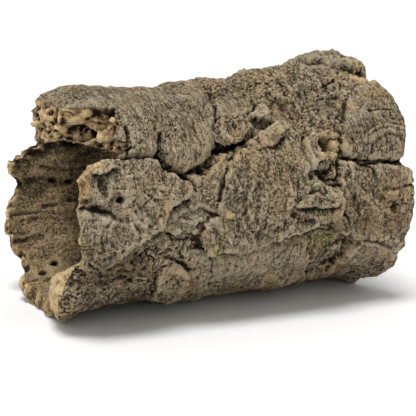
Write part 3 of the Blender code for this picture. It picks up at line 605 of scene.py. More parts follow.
# Patches of another colour: (x, angle, half length along, half length round, strength)
OUTER_PATCHES = {
    "ochre": [
        (-142, 26, 8, 3, 0.8), (-151, 17, 4.5, 8, 0.9), (-88, 7, 3.5, 4.5, 0.6), (-82, -6, 4.5, 3, 0.7),
        (-35, -1, 5.5, 3, 0.9), (-32, 38, 2.5, 2.5, 0.8), (20, 35, 7.5, 4, 0.5), (74, 25, 4, 6.5, 0.9),
        (57, 22, 6, 3, 0.8), (99, 50, 3, 3, 0.8), (103, 45, 3, 5, 0.7), (138, 67, 10, 13.5, 1),
        (94, 17, 2, 2.5, 0.8), (125, 0, 8.5, 4, 0.6), (98, 0, 4, 2.5, 0.5), (144, 5, 3, 14, 0.7),
        (-103, 11, 8.5, 3, 0.3), (-125, 57, 6.5, 3.5, 0.6), (-160, 0, 2.5, 16.5, 0.6),
        (-160, -13, 3, 6.5, 0.5),
    ],
    "red": [
        (145, 36, 5, 6, 0.7), (-59, -9, 9, 7.5, 0.6),
    ],
    "dark": [
        # Among the dark patches, those in the slot, the holes and the knot, under the upper flakes and
        # in the row under the middle plate's lower edge are painted shadow.
        (-113, 53, 3, 4, 0.9), (-146, 23, 8, 2, 0.8), (-148, 9, 12, 3, 0.9), (-127, 12, 4, 3.5, 0.9),
        (-83, 2, 3.5, 4.5, 0.9), (-93, -5, 7.5, 4.5, 0.4), (-118, -19, 17, 5.5, 0.85),
        (-142, -11, 11.5, 11.5, 0.5), (-67, -5, 5.5, 1.5, 0.5), (-75, -12, 23, 2.5, 0.5),
        (-73, 4, 7, 2, 0.4), (-48, 1, 9, 3, 0.8), (-25, 29, 14, 4.5, 0.95), (8, 42, 12.5, 2.5, 0.9),
        (4, 38, 12.5, 3.5, 0.5), (18, 31, 7.5, 5, 0.85), (2, 32, 2, 2.5, 0.9), (34, 40, 9.5, 4.5, 0.6),
        (40, 24, 3, 9.5, 0.9), (44, 44, 3, 3, 0.9), (-26, 48, 2.5, 3, 0.9), (90, 53, 7, 4.5, 0.9),
        (64, 26, 7.5, 5.5, 0.95), (60, 17, 11.5, 3, 0.6), (100, 13, 5, 4, 0.6),
        (116, 16, 20.5, 1.5, 0.5), (128, -6, 4.5, 4, 0.8), (141, 3, 4, 2.5, 0.8), (121, 3, 3, 2.5, 0.8),
        (40, 12, 6.5, 4.5, 0.7), (76, -32, 28, 14.5, 0.35), (89, -23, 5.5, 7, 0.9),
        # The next seven patches, under the middle plate's lower edge, are painted shadow.
        (-28, -22, 11.5, 7, 0.45), (-34, -24, 13, 6, 0.6), (-14, -23, 14.5, 6, 0.75),
        (6, -22, 14.5, 6, 0.75), (25, -21, 15, 5.5, 0.75), (43, -17, 14, 5.5, 0.75),
        (58, -14, 12, 5.5, 0.6), (-123, -26, 38, 23.5, 0.85), (-94, 31, 49.5, 11, 0.16),
        (87, -13, 33, 21.5, 0.55), (106, 29, 30, 16.5, 0.3), (15, 60, 54, 18.5, 0.35),
        (-69, 31, 25.5, 12.5, 0.15),
    ],
    "pale": [
        # The first pale patch, over the top of the rolled lobe, is partly painted light from above.
        (-100, 64, 65, 17.5, 0.45), (-52, -3, 3.5, 4, 0.9), (-48, -9, 2.5, 10, 0.7),
        (-134, 33, 1.5, 5, 0.9), (41, 30, 3, 1.5, 0.9), (6, 32, 18, 6.5, 0.2), (46, 23, 5.5, 11, 0.15),
        (57, 19, 6.5, 2.5, 0.7), (-8, 52, 16, 9.5, 0.3), (118, 37, 26, 22.5, 0.12),
        (-128, 7, 34, 27, 0.7), (1, -32, 46, 18, 0.4), (124, 84, 25, 21, 0.5), (-121, -6, 7.5, 10, 0.4),
        (-64, 1, 10.5, 4.5, 0.5), (-71, -4, 12, 4.5, 0.4), (-59, -2, 26.5, 20.5, 0.85),
        (-11, -31, 45.5, 24.5, 0.85),
    ],
    "lichen": [
        (-42, -19, 6.5, 5.5, 0.9), (68, -25, 17, 13.5, 0.8), (74, -11, 8, 6, 0.4),
        (-32, -22, 9.5, 7.5, 0.4), (-79, -8, 4.5, 3, 0.5),
    ],
}
INNER_PATCHES = {
    "dark": [
        # The inside's dark patches are painted shade deep inside the tube and in its holes.
        (-89, 156, 25.5, 28, 0.75), (-83, -178, 13.5, 40.5, 0.55), (-106, -176, 28.5, 35, 0.3),
        (-89, 164, 21.5, 26, 0.6), (-95, -168, 13.5, 35, 0.4), (-125, -159, 16.5, 3.5, 0.6),
        (-123, -127, 3.5, 5.5, 0.8), (-137, -121, 2.5, 4.5, 0.8), (-136, -115, 5, 3.5, 0.7),
    ],
    "ochre": [
        # The inside's ochre patches, low near the open left end, are lighter: painted light where light
        # falls in, over the cork's own ochre.
        (-136, -112, 22, 48.5, 0.5), (-151, -137, 9, 40.5, 0.5), (-148, -83, 13.5, 30, 0.5),
        (-164, -73, 6.5, 23, 0.6), (-146, -172, 9, 39.5, 0.4), (-132, -143, 12.5, 22.5, 0.25),
    ],
}

# Ledges, raised on the left of their way: points in (x, angle), height, reach
LEDGES = [
    ([(-127, -16), (-114, -12), (-99, -6), (-90, -3), (-84, 4)], 3, 8),
    ([(-83, 0), (-76, -2), (-66, -5), (-54, -3)], 2.5, 6),
    ([(-73, 0), (-63, -2), (-55, 0)], 1.5, 4),
    ([(-89, -7), (-77, -9), (-67, -8), (-58, -9)], 2.5, 6),
    ([(-96, -13), (-90, -11), (-84, -8)], 2, 5),
    ([(-4, 44), (3, 43), (17, 44), (27, 49)], 1.5, 8),
    ([(6, 28), (17, 30), (30, 34)], 3, 8),
    ([(-35, 9), (-44, 3), (-51, -5), (-49, -12), (-41, -18)], 1, 6),
    ([(-68, 2), (-56, 3), (-48, 0), (-39, -1)], 2, 6),
    ([(-151, 24), (-144, 23), (-135, 23), (-123, 25)], 3, 7),
    ([(-116, 4), (-109, 8), (-99, 10), (-87, 8)], 1, 4),
    ([(-119, 9), (-110, 13), (-98, 14), (-85, 13)], 0.8, 4),
    ([(61, -16), (72, -16), (81, -13), (81, -8)], 3, 7),
    ([(142, -32), (108, -25), (87, -27), (80, -31)], 2, 7),
    ([(-50, -33), (-59, -33), (-77, -24), (-85, -21)], 2.2, 8),
    ([(28, 0), (41, -2), (57, -2), (70, 0)], 2.5, 7),
    ([(76, 19), (107, 16), (136, 15)], 1.2, 6),
    ([(-151, -16), (-136, -22), (-122, -22)], 2, 6),
    ([(-138, -31), (-117, -30), (-94, -35)], 2, 6),
    ([(-38, -12), (-31, -14), (-24, -12)], 1, 3),
    ([(-30, 47), (-18, 44), (-2, 46)], 1.5, 5),
    ([(-30, -26), (-8, -33), (13, -32)], 1, 5),
    ([(102, 97), (106, 79), (128, 76), (149, 76)], 2, 6),
]

# Thin flakes: outline in (x, angle), colour, lift of the loose edge. They hold on by the
# first part of their outline.
FLAKES = [
    ([(-75, 4), (-67, 5), (-58, 3), (-51, 0), (-54, -3), (-62, -3), (-71, -1), (-77, 1)], "pale", 3.5),
    ([(-84, -1), (-74, -2), (-65, -4), (-59, -7), (-67, -8), (-76, -9), (-85, -5)], "pale", 3.5),
    ([(-54, -1), (-50, -3), (-49, -5), (-55, -6)], "pale", 5),
    ([(-96, -11), (-92, -9), (-86, -8), (-83, -10), (-90, -13), (-95, -13)], "pale", 3),
    ([(-68, 6), (-61, 8), (-49, 8), (-40, 4), (-42, 1), (-52, 2), (-63, 3)], "", 2.5),
    ([(66, -9), (72, -7), (79, -11), (83, -16), (76, -16), (70, -13)], "", 4),
    ([(-34, 38), (-27, 43), (-15, 44), (-5, 42), (-6, 36), (-14, 32), (-28, 31), (-35, 34)], "", 3.5),
    ([(-14, 27), (-4, 31), (9, 35), (22, 37), (30, 36), (25, 32), (12, 29), (-3, 27)], "", 1.5),
    ([(-39, 0), (-34, 1), (-29, -1), (-33, -3), (-38, -2)], "ochre", 3),
    ([(-85, -29), (-78, -25), (-68, -27), (-59, -33), (-57, -40), (-69, -40), (-80, -35)], "", 3),
    ([(39, 30), (44, 30), (43, 29), (39, 29)], "pale", 3),
    ([(3, 44), (12, 46), (22, 43), (21, 38), (10, 36), (3, 39)], "", 1.5),
    ([(43, 29), (52, 30), (53, 26), (50, 20), (44, 15), (40, 19), (40, 24)], "", 2),
]

# Places that growth arcs run round: (x, angle), reach, strength
ARCS = [((-127, -5), 64, 1.0), ((128, 13), 62, 0.8), ((66, 25), 36, 0.8), ((10, 2), 45, 0.5)]

# Lumps: (x, angle), half sizes along, round and outwards, colour
LUMPS = [
    ((75, 26), (3.0, 6.5, 8), "ochre"),
    ((57, 21), (5.5, 3.2, 7), "ochre"),
    ((57, 17), (7.0, 3.0, 5), "pale"),
    ((43, 35), (3.8, 6.7, 4), ""),
    ((11, 42), (9.5, 4.5, 4), ""),
    ((-82, -6), (3.9, 2.8, 3), "ochre"),
    ((-129, 7), (4.1, 4.4, 3.5), "pale"),
    ((135, 68), (7.9, 8.2, 3), "ochre"),
    ((99, 50), (2.4, 2.6, 2), "ochre"),
    ((103, 45), (2.5, 4.3, 2.5), "ochre"),
    ((-32, 38), (2.2, 2.1, 2), "ochre"),
    ((-145, 26), (3.9, 2.3, 3), "ochre"),
    ((-137, 26), (3.2, 1.9, 3), "ochre"),
]


# The knot's hollow: (x, angle), half sizes along and round, depth
KNOT = (65.0, 27.0)
KNOT_SIZES = (8.0, 6.0)
KNOT_DEPTH = 7.0

# How finely a flake is made, and how many crumbs there are
FLAKE_CORNERS = 110
FLAKE_RINGS = 18
CRUMBS = 700

# How deep the finest bumps of the bark look, in metres
BUMP_DEPTH = 0.0022

# What the colours follow at each point of the bark; cavity and hollow carry painted shade and
# highlights, skirt painted shadow, lip a painted highlight and dark some painted shadow
FIELDS = ("inner", "edge", "rough", "grain", "cavity", "hollow", "tone", "skirt", "lip",
          "ochre", "dark", "pale", "lichen", "red")

# The camera, before the tube tilts: degrees round and above it, metres away, what it looks at
CAMERA_ROUND = -29.0
CAMERA_ABOVE = 12.0
CAMERA_FAR = 1.02
CAMERA_LENS = 100.0
LOOKED_AT = np.array([0.0035, 0.0, -0.019])

SKY_STRENGTH = 0.53
SUN_STRENGTH = 2.25
SUN_WIDTH = 22.0
SUN_WAY = (0.22, 0.16, -1.0)
FLOOR_SIZE = 60.0
FLOOR_DROP = 0.0003


def grid_normals(points):
    """Outward normals of the closed grid of points."""
    round_way = np.roll(points, -1, axis=0) - np.roll(points, 1, axis=0)
    along_way = np.roll(points, -1, axis=1) - np.roll(points, 1, axis=1)
    normal = np.cross(round_way, along_way)
    return normal / np.maximum(np.linalg.norm(normal, axis=-1, keepdims=True), 1e-9)


def blurred(values, columns, rows):
    """The mean over a window of the closed grid."""
    for axis, reach in ((0, columns), (1, rows)):
        total = values.copy()
        for n in range(1, reach + 1):
            total += np.roll(values, n, axis=axis) + np.roll(values, -n, axis=axis)
        values = total / (2 * reach + 1)
    return values


def edge_faded(rows):
    """Weights of a band's rows, lower in the four rows next to each of its edges."""
    weight = np.ones(rows)
    weight[:4] = weight[-4:] = (0.2, 0.4, 0.6, 0.8)
    return weight


def arched(rows, margin):
    """Weights of a broken edge's rows, highest in the middle of the wall."""
    return np.sin(np.pi * np.linspace(margin, 1.0 - margin, rows)) ** 0.5


def bending(points, size, seed):
    return np.stack([layered(points / size, seed + n, 2) for n in range(3)], axis=-1)


def veins(p, seed, width):
    """Long winding hairlines: 1 on the line."""
    return 1.0 - step(0.0, width, np.abs(layered(p, seed, 2, 0.4)))


def network(p, size, seed, width):
    """Fine cracks between cells of about the given size: 1 in the crack."""
    swirl = np.stack([noise(p / size, seed + n) for n in range(3)], axis=-1)
    border, label = cells(p / size + 0.35 * swirl, seed + 5)
    return 1.0 - step(0.0, width, border), label


def patched(patches, x, angle, wander):
    mask = np.zeros(x.shape)
    for along, degrees, reach_u, reach_v, strength in patches:
        u = (x - along + wander[0]) / reach_u
        v = (ARC * turned(angle - degrees) + wander[1]) / reach_v
        mask = np.maximum(mask, strength * (1.0 - step(0.5, 1.35, np.hypot(u, v))))
    return mask


def painted(points, x, angle, stray):
    """How rough and how lined the bark is by the plate that a point lies on, the skirt below the plates'
    hanging edges, sunk and carrying painted shadow, and the lip along those edges, raised and carrying a
    painted highlight."""
    rough = np.full(x.shape, 1.4)
    grain = np.full(x.shape, 0.1)
    skirt = np.zeros(x.shape)
    lip = np.zeros(x.shape)
    for plate in PLATES:
        near, cover, d, _, out_v = over_plate(plate, x, angle, stray)
        hang = min(1.0, plate.lean / 4.0) * (0.25 + 0.75 * np.clip(-out_v, 0.0, 1.0))
        hang = hang * (1.0 - 0.7 * step(60.0, 80.0, angle[near]))
        # below: the sunk skirt, also painted shadow; along: the raised lip, also a painted highlight
        below = hang * np.exp(-(((d + 1.4) / 1.8) ** 2))
        along = hang * np.exp(-(((d - 1.2) / 1.4) ** 2))
        rough[near] += (plate.rough - rough[near]) * cover
        grain[near] += (plate.grain - grain[near]) * cover
        skirt[near] = np.maximum(skirt[near] * (1.0 - cover), below)
        lip[near] = np.maximum(lip[near] * (1.0 - cover), along)
    patchy = step(-0.35, 0.25, layered(points / 16.0, 226, 2))
    return {"rough": rough, "grain": grain, "skirt": skirt * patchy, "lip": lip * patchy}


def ledged(x, angle, wander):
    """The ledges' height, the painted highlight along their rim and the painted shadow below them."""
    rise = np.zeros(x.shape)
    rim = np.zeros(x.shape)
    shadow = np.zeros(x.shape)
    for points, height, reach in LEDGES:
        line, v = flattened(points, angle)
        near = close_to(x, v, line, 2.0 * reach + 6.0)
        u, v = x[near] + wander[0][near], v[near] + wander[1][near]
        best = np.full(u.shape, 1e9)
        side = np.zeros(u.shape)
        for a, b in zip(line, line[1:]):
            d = np.hypot(*segment_offset(u, v, a, b))
            left = np.sign((b[0] - a[0]) * (v - a[1]) - (b[1] - a[1]) * (u - a[0]))
            side = np.where(d < best, left, side)
            best = np.minimum(best, d)
        start, end = line[0], line[-1]
        ends = np.minimum(np.hypot(u - start[0], v - start[1]), np.hypot(u - end[0], v - end[1]))
        strength = step(1.0, 7.0, ends + 2.0) * np.exp(-((ends < best + 0.01) * best / 4.0))
        d = best * side
        over = step(-0.5, 0.5, d)
        under = np.minimum(d, 0.0)
        above = over * np.exp(-np.maximum(d, 0.0) / reach)
        below = (1.0 - over) * np.exp(-((under / (1.0 + 1.2 * height)) ** 2))
        dim = (1.0 - over) * np.exp(-((under / (0.5 + 1.7 * height)) ** 2))
        rise[near] += strength * height * (above - 0.6 * below)
        # Painted highlight along the ledge's rim, and painted shadow below the ledge
        rim[near] = np.maximum(rim[near], strength * over * np.exp(-((d / 2.0) ** 2)))
        shadow[near] = np.maximum(shadow[near], strength * dim * min(0.8, height / 4.0))
    return rise, rim, shadow


def growth_rings(points, stray):
    rings = np.zeros(points.shape[:2])
    for (x, angle), reach, strength in ARCS:
        far = np.linalg.norm(points - place(x, angle, 103.0), axis=-1)
        far = far + 0.8 * stray[0] + 0.8 * stray[1]
        p = np.stack([far / 2.4, points[..., 0] / 60.0, points[..., 2] / 60.0], axis=-1)
        rings += strength * noise(p, 261) * step(reach, 0.6 * reach, far) * step(6.0, 14.0, far)
    return rings


def outside_relief(p, x, angle, stray, paint):
    """Layers, cracks, fine lines, ledges, the knot and growth rings over the outside. The ledges'
    painted shadow, the painted highlight on their rim and a tone for each cell and ring go into the
    paint."""
    fine = [1.4 * layered(p / 5.0, seed, 2) for seed in (227, 229)]
    wander = [0.8 * wide + 0.6 * narrow for wide, narrow in zip(stray, fine)]
    rise, rim, shadow = ledged(x, angle, wander)
    rough, grain = paint["rough"], paint["grain"]
    swirl = np.stack([stray[0], stray[1], stray[0]], axis=-1)
    layers = terraced(layered(drawn_out(p + swirl, 0.070, 0.034), 246, 3, 0.55), 5.0)
    large, tone = network(p, 15.0, 221, 0.05)
    some = step(-0.15, 0.25, layered(p / 20.0, 241, 2))
    round_lines = veins(drawn_out(p + 0.6 * swirl, 0.24, 0.040), 231, 0.07)
    cross_lines = veins(drawn_out(p + swirl, 0.06, 0.15), 236, 0.05)
    striae = layered(drawn_out(p + 0.5 * swirl, 0.34, 0.03), 251, 3, 0.6)
    wrinkles = layered(drawn_out(p, 0.07, 0.45), 256, 2, 0.6)
    relief = (0.9 + 1.2 * rough) * layers - 1.2 * rough * large * some
    relief -= (0.25 + 0.55 * rough) * round_lines + (0.15 + 0.7 * rough) * cross_lines * (1.0 - some)
    relief += (0.10 + 0.40 * grain) * striae + 0.18 * grain * wrinkles
    relief += 1.1 * paint["lip"] - 2.2 * paint["skirt"] + rise
    along, across = KNOT_SIZES
    knot = np.hypot((x - KNOT[0]) / along, ARC * turned(angle - KNOT[1]) / across)
    relief = relief * step(0.8, 1.3, knot) - KNOT_DEPTH * (1.0 - step(0.6, 1.1, knot))
    relief += 0.5 * layered(p / 4.0, 218, 2, 0.6)
    rings = growth_rings(p, stray)
    # The ledges' painted shadow joins the skirt, and their rim's painted highlight joins the lip
    paint["skirt"] = np.maximum(paint["skirt"], shadow)
    paint["lip"] = np.maximum(paint["lip"], 0.5 * rim)
    paint["tone"] = tone + 6.0 * rings
    return (relief + 0.9 * rings) * edge_faded(OUTER_ROWS)


def inside_relief(p):
    """Ridges along the tube and flat scars."""
    bent = bending(p, 18.0, 273)
    ridges = layered(drawn_out(p + 6.0 * bent, 0.045, 0.30), 271, 4, 0.65, ridged=True)
    scars = terraced(layered(drawn_out(p + 4.0 * bent, 0.03, 0.08), 276, 3), 4.0)
    return (0.5 * ridges + 1.4 * scars) * edge_faded(INNER_ROWS)


def broken_relief(p):
    """Lumps and steps across a broken edge."""
    steps = terraced(layered(p / 6.0, 304, 3, 0.55), 3.0)
    return (1.8 * layered(p / 8.0, 301, 3, 0.6) + 1.5 * steps) * arched(p.shape[1], 0.02)


def torn_relief(p):
    """Shreds, chunks and holes in the end of the lobe along the top."""
    bent = bending(p, 9.0, 282)
    border, _ = cells((p + 5.0 * bent) * np.array([0.09, 0.12, 0.16]), 285)
    holes = step(0.10, 0.45, border) * step(-0.10, 0.25, layered(p / 9.0, 288, 2))
    shreds = layered(p * np.array([0.20, 0.20, 0.34]), 289, 4, 0.65, ridged=True)
    chunks = terraced(layered(p / 10.0, 292, 3, 0.6), 3.0)
    return np.minimum(1.8 * shreds + 1.8 * chunks - 4.2 * holes, 0.8) * arched(LEFT_ROWS, 0.04)


def fine_bark():
    """The grid of the bark with its fine relief, and the fields that its colours follow."""
    points = bark_points()
    x = points[..., 0]
    angle = np.degrees(np.arctan2(points[..., 2], -points[..., 1]))
    normal = grid_normals(blurred(points, 2, 2))
    stray = wandering(place(x[OUTSIDE], angle[OUTSIDE], ARC_RADIUS))
    paint = painted(points[OUTSIDE], x[OUTSIDE], angle[OUTSIDE], stray)
    fields = {name: np.zeros(x.shape) for name in FIELDS}
    fields["inner"][INSIDE] = 1.0
    fields["edge"][RIGHT_EDGE] = 1.0
    fields["edge"][LEFT_EDGE] = 1.0
    fields["rough"] += 1.0
    fields["rough"][OUTSIDE] = paint["rough"]

    slab = step(-72.0, -56.0, angle) * step(-14.0, -26.0, angle)
    amount = np.where(fields["edge"] > 0.5, 0.9 - 0.5 * slab, 0.12 + 0.62 * fields["rough"])
    amount = blurred(np.where(fields["inner"] > 0.5, 0.35, amount), 1, 2)
    crust = layered(points / 6.0, 201, 3, 0.6, ridged=True)
    chips = terraced(layered(points / 8.5, 211, 4, 0.55), 4.0)
    grit = layered(points / 1.9, 216, 2, 0.6)
    relief = np.minimum(amount, 0.6) * 0.55 * crust + amount * 1.1 * chips
    relief += (0.16 + 0.20 * amount) * grit
    relief[OUTSIDE] += outside_relief(points[OUTSIDE], x[OUTSIDE], angle[OUTSIDE], stray, paint)
    relief[INSIDE] += inside_relief(points[INSIDE])
    for edge in (RIGHT_EDGE, LEFT_EDGE):
        relief[edge] += broken_relief(points[edge]) * (1.0 + 0.5 * slab[edge])
    slab, at = slab[LEFT_EDGE], angle[LEFT_EDGE]
    torn = step(26.0, 36.0, at) * step(114.0, 100.0, at) * step(0.0, -0.5, normal[LEFT_EDGE][..., 0])
    relief[LEFT_EDGE] = np.minimum(relief[LEFT_EDGE], 2.5 - 1.9 * torn + 1.5 * slab)
    relief[LEFT_EDGE] += torn * torn_relief(points[LEFT_EDGE])
    crusty = step(0.05, 0.30, layered(points[LEFT_EDGE] / 8.0, 294, 3, 0.6))
    points = points + relief[..., None] * normal

    for name, values in paint.items():
        fields[name][OUTSIDE] = values
    fields["inner"] = blurred(fields["inner"], 1, 1)
    fields["edge"] = blurred(fields["edge"], 1, 1)
    fields["rough"] = blurred(fields["rough"], 2, 2)
    # How far each point stands out of or sinks into its surroundings; the colours paint shade into sunk
    # places and highlights onto raised ones from these
    fields["cavity"] = np.sum((points - blurred(points, 3, 3)) * normal, axis=-1)
    fields["hollow"] = np.sum((points - blurred(points, 11, 9)) * normal, axis=-1)
    wander = (2.2 * layered(points / 7.0, 291, 2), 2.2 * layered(points / 7.0, 296, 2))
    for table, band in ((OUTER_PATCHES, OUTSIDE), (INNER_PATCHES, INSIDE)):
        off = (wander[0][band], wander[1][band])
        for kind, patches in table.items():
            fields[kind][band] = patched(patches, x[band], angle[band], off)
    fields["dark"][LEFT_EDGE] = crusty * (0.25 + 0.55 * torn + 0.35 * slab)
    fields["ochre"][LEFT_EDGE] = slab * (1.0 - 0.3 * crusty)
    return points, fields


def add_fields(mesh, fields):
    """Stores one number, or a number for each vertex, under each name."""
    for name, values in fields.items():
        values = np.broadcast_to(np.ravel(values), len(mesh.vertices))
        layer = mesh.attributes.new(name, "FLOAT", "POINT")
        layer.data.foreach_set("value", values.astype(np.float32))


def bark_piece(points, fields):
    index = np.arange(points[..., 0].size).reshape(points.shape[:2])
    below = np.roll(index, -1, axis=0)
    faces = [index, below, np.roll(below, -1, axis=1), np.roll(index, -1, axis=1)]
    faces = np.stack(faces, axis=-1).reshape(-1, 4)
    mesh = bpy.data.meshes.new("bark")
    mesh.vertices.add(index.size)
    mesh.vertices.foreach_set("co", (stood(points) * MM).reshape(-1).astype(np.float32))
    mesh.loops.add(faces.size)
    mesh.loops.foreach_set("vertex_index", faces.reshape(-1).astype(np.int32))
    mesh.polygons.add(len(faces))
    mesh.polygons.foreach_set("loop_start", np.arange(len(faces), dtype=np.int32) * 4)
    mesh.update(calc_edges=True)
    add_fields(mesh, fields)
    bark = bpy.data.objects.new("bark", mesh)
    bpy.context.scene.collection.objects.link(bark)
    bpy.context.view_layer.objects.active = bark
    bark.select_set(True)
    thin_out = bark.modifiers.new("thin_out", "DECIMATE")
    thin_out.ratio = min(1.0, BARK_TRIANGLES / (2.0 * len(faces)))
    bpy.ops.object.modifier_apply(modifier=thin_out.name)
    bark.data.shade_smooth()
    return bark


def added_piece(name, points, faces, fields, look):
    mesh = bpy.data.meshes.new(name)
    mesh.from_pydata((stood(points) * MM).tolist(), [], faces)
    add_fields(mesh, fields)
    mesh.shade_smooth()
    mesh.materials.append(look)
    piece = bpy.data.objects.new(name, mesh)
    bpy.context.scene.collection.objects.link(piece)
    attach(piece, "root")


def ground(x, angle):
    """The radius of the bark's outside, away from its ends."""
    far = np.full(x.shape, 50.0)
    return outer_surface(x, angle, far, far)[2]


def flake_faces():
    """The faces of two stacked discs in rings round a middle point, joined at the rim."""
    count = FLAKE_CORNERS
    half = 1 + FLAKE_RINGS * count
    rim = half - count
    faces = []
    for n in range(count):
        m = (n + 1) % count
        faces.append((0, 1 + m, 1 + n))
        faces.append((half, half + 1 + n, half + 1 + m))
        for a in range(1, rim, count):
            b = a + count
            faces.append((a + n, a + m, b + m, b + n))
            faces.append((half + a + n, half + b + n, half + b + m, half + a + m))
        faces.append((rim + n, rim + m, half + rim + m, half + rim + n))
    return faces


def flake(number, outline, colour, lift, look):
    """A thin loose layer of bark, closed all round, that lies on the plate beneath it and
    stands off at its free edge."""
    middle_x, middle_a = np.mean(outline, axis=0)
    corners = np.array([(x - middle_x, ARC * (angle - middle_a)) for x, angle in outline])
    lengths = np.hypot(*(np.roll(corners, -1, axis=0) - corners).T)
    along = np.concatenate([[0.0], np.cumsum(lengths)])
    t = np.linspace(0.0, along[-1], FLAKE_CORNERS, endpoint=False)
    closed = np.vstack([corners, corners[:1]])
    ring = np.stack([np.interp(t, along, closed[:, n]) for n in (0, 1)], axis=-1)
    seed = 401 + 7 * number
    apart = 40.0 * number
    p = np.concatenate([ring, np.zeros((FLAKE_CORNERS, 1))], axis=-1) + apart
    ring *= 1.0 + 0.26 * layered(p / 3.5, seed, 4, 0.65)[:, None]
    share = np.linspace(0.0, 1.0, FLAKE_RINGS + 1)[1:] ** 0.8
    flat = np.concatenate([[(0.0, 0.0)], (ring[None] * share[:, None, None]).reshape(-1, 2)])
    u, v = flat.T
    x, angle = middle_x + u, middle_a + v / ARC
    plane = np.stack([np.ones(u.shape), u, v], axis=-1)
    slope = np.linalg.lstsq(plane, ground(x, angle), rcond=None)[0]
    held = 0.5 * (corners[0] + corners[1])
    away = np.hypot(u - held[0], v - held[1])
    away = away / away.max()
    p = np.stack([u, v, np.full(u.shape, apart)], axis=-1)
    grit = layered(p / 2.2, seed + 6, 3, 0.65)
    curl = 0.9 * layered(p / 7.0, seed + 3, 3) + 0.9 * terraced(layered(p / 4.0, seed + 4, 3, 0.6), 3.0)
    curl += 0.5 * layered(p * np.array([0.5, 0.15, 1.0]), seed + 5, 2) + 0.5 * grit
    radius = slope[0] + slope[1] * u + slope[2] * v + 0.2 + 0.75 * lift * away ** 1.3 + curl
    edge = np.concatenate([[0.0], np.repeat(share, FLAKE_CORNERS)])
    thick = 0.4 + (1.1 + 2.0 * (1.0 - away)) * (1.0 - edge ** 4)
    points = np.concatenate([place(x, angle, radius), place(x, angle, radius - thick)])
    fields = {"grain": 0.5, "rough": 1.1, "hollow": 2.0 if colour == "pale" else -1.5}
    # A painted highlight along the flake's rim
    fields["lip"] = np.tile(1.6 * edge ** 6, 2)
    fields["cavity"] = np.tile(0.8 * grit, 2)
    if colour:
        fields[colour] = 0.9
    added_piece(f"flake_{number}", points, flake_faces(), fields, look)


def ball(subdivisions):
    """The points and the triangles of a ball of radius 1."""
    bpy.ops.mesh.primitive_ico_sphere_add(subdivisions=subdivisions, radius=1.0)
    made = bpy.context.active_object
    points = np.empty(len(made.data.vertices) * 3)
    made.data.vertices.foreach_get("co", points)
    faces = np.array([tuple(face.vertices) for face in made.data.polygons])
    bpy.data.objects.remove(made, do_unlink=True)
    return points.reshape(-1, 3), faces


def lump(number, centre, sizes, colour, look):
    """A solid lump of bark or wood, broken in flat faces, half sunk in what is round it."""
    unit, faces = ball(5)
    seed = 501 + 5 * number
    p = unit + 7.0 * number
    size = 0.95 + 0.30 * terraced(layered(p * 1.2, seed, 3, 0.6), 3.0)
    size += 0.22 * layered(p * 3.0, seed + 3, 4, 0.6)
    u, v, out = (unit * size[:, None] * np.array(sizes)).T
    x, angle = np.array(centre, float)
    radius = ground(np.array([x]), np.array([angle]))[0] + 0.2 * sizes[2]
    fields = {"grain": 0.2, "rough": 0.6}
    if colour:
        fields[colour] = 0.9
    points = place(x + u, angle + v / ARC, radius + out)
    added_piece(f"lump_{number}", points, faces.tolist(), fields, look)


def crumbs(points, fields, look):
    """Small grains of crust and lichen that cling to the roughest bark."""
    rng = np.random.default_rng(7)
    weight = fields["dark"] + 2.0 * fields["lichen"] + 0.5 * (fields["rough"] > 1.3)
    weight = weight * (fields["inner"] < 0.01) * (fields["edge"] < 0.01)
    weight = weight.reshape(-1)
    picked = rng.choice(len(weight), CRUMBS, replace=False, p=weight / weight.sum())
    normal = grid_normals(blurred(points, 2, 2)).reshape(-1, 3)[picked]
    places = points.reshape(-1, 3)[picked]
    unit, faces = ball(2)
    sizes = rng.uniform(0.5, 1.0, (CRUMBS, 1, 3)) * rng.uniform(0.5, 1.3, (CRUMBS, 1, 1))
    rough = 1.0 + 0.35 * rng.uniform(-1.0, 1.0, (CRUMBS, len(unit), 1))
    grains = places[:, None] + 0.2 * normal[:, None] + unit[None] * sizes * rough
    faces = (faces[None] + len(unit) * np.arange(CRUMBS)[:, None, None]).reshape(-1, 3)
    kept = {
        name: np.repeat(fields[name].reshape(-1)[picked], len(unit))
        for name in ("dark", "lichen", "rough", "tone")
    }
    kept["dark"] *= 0.5
    added_piece("crumbs", grains.reshape(-1, 3), faces.tolist(), kept, look)


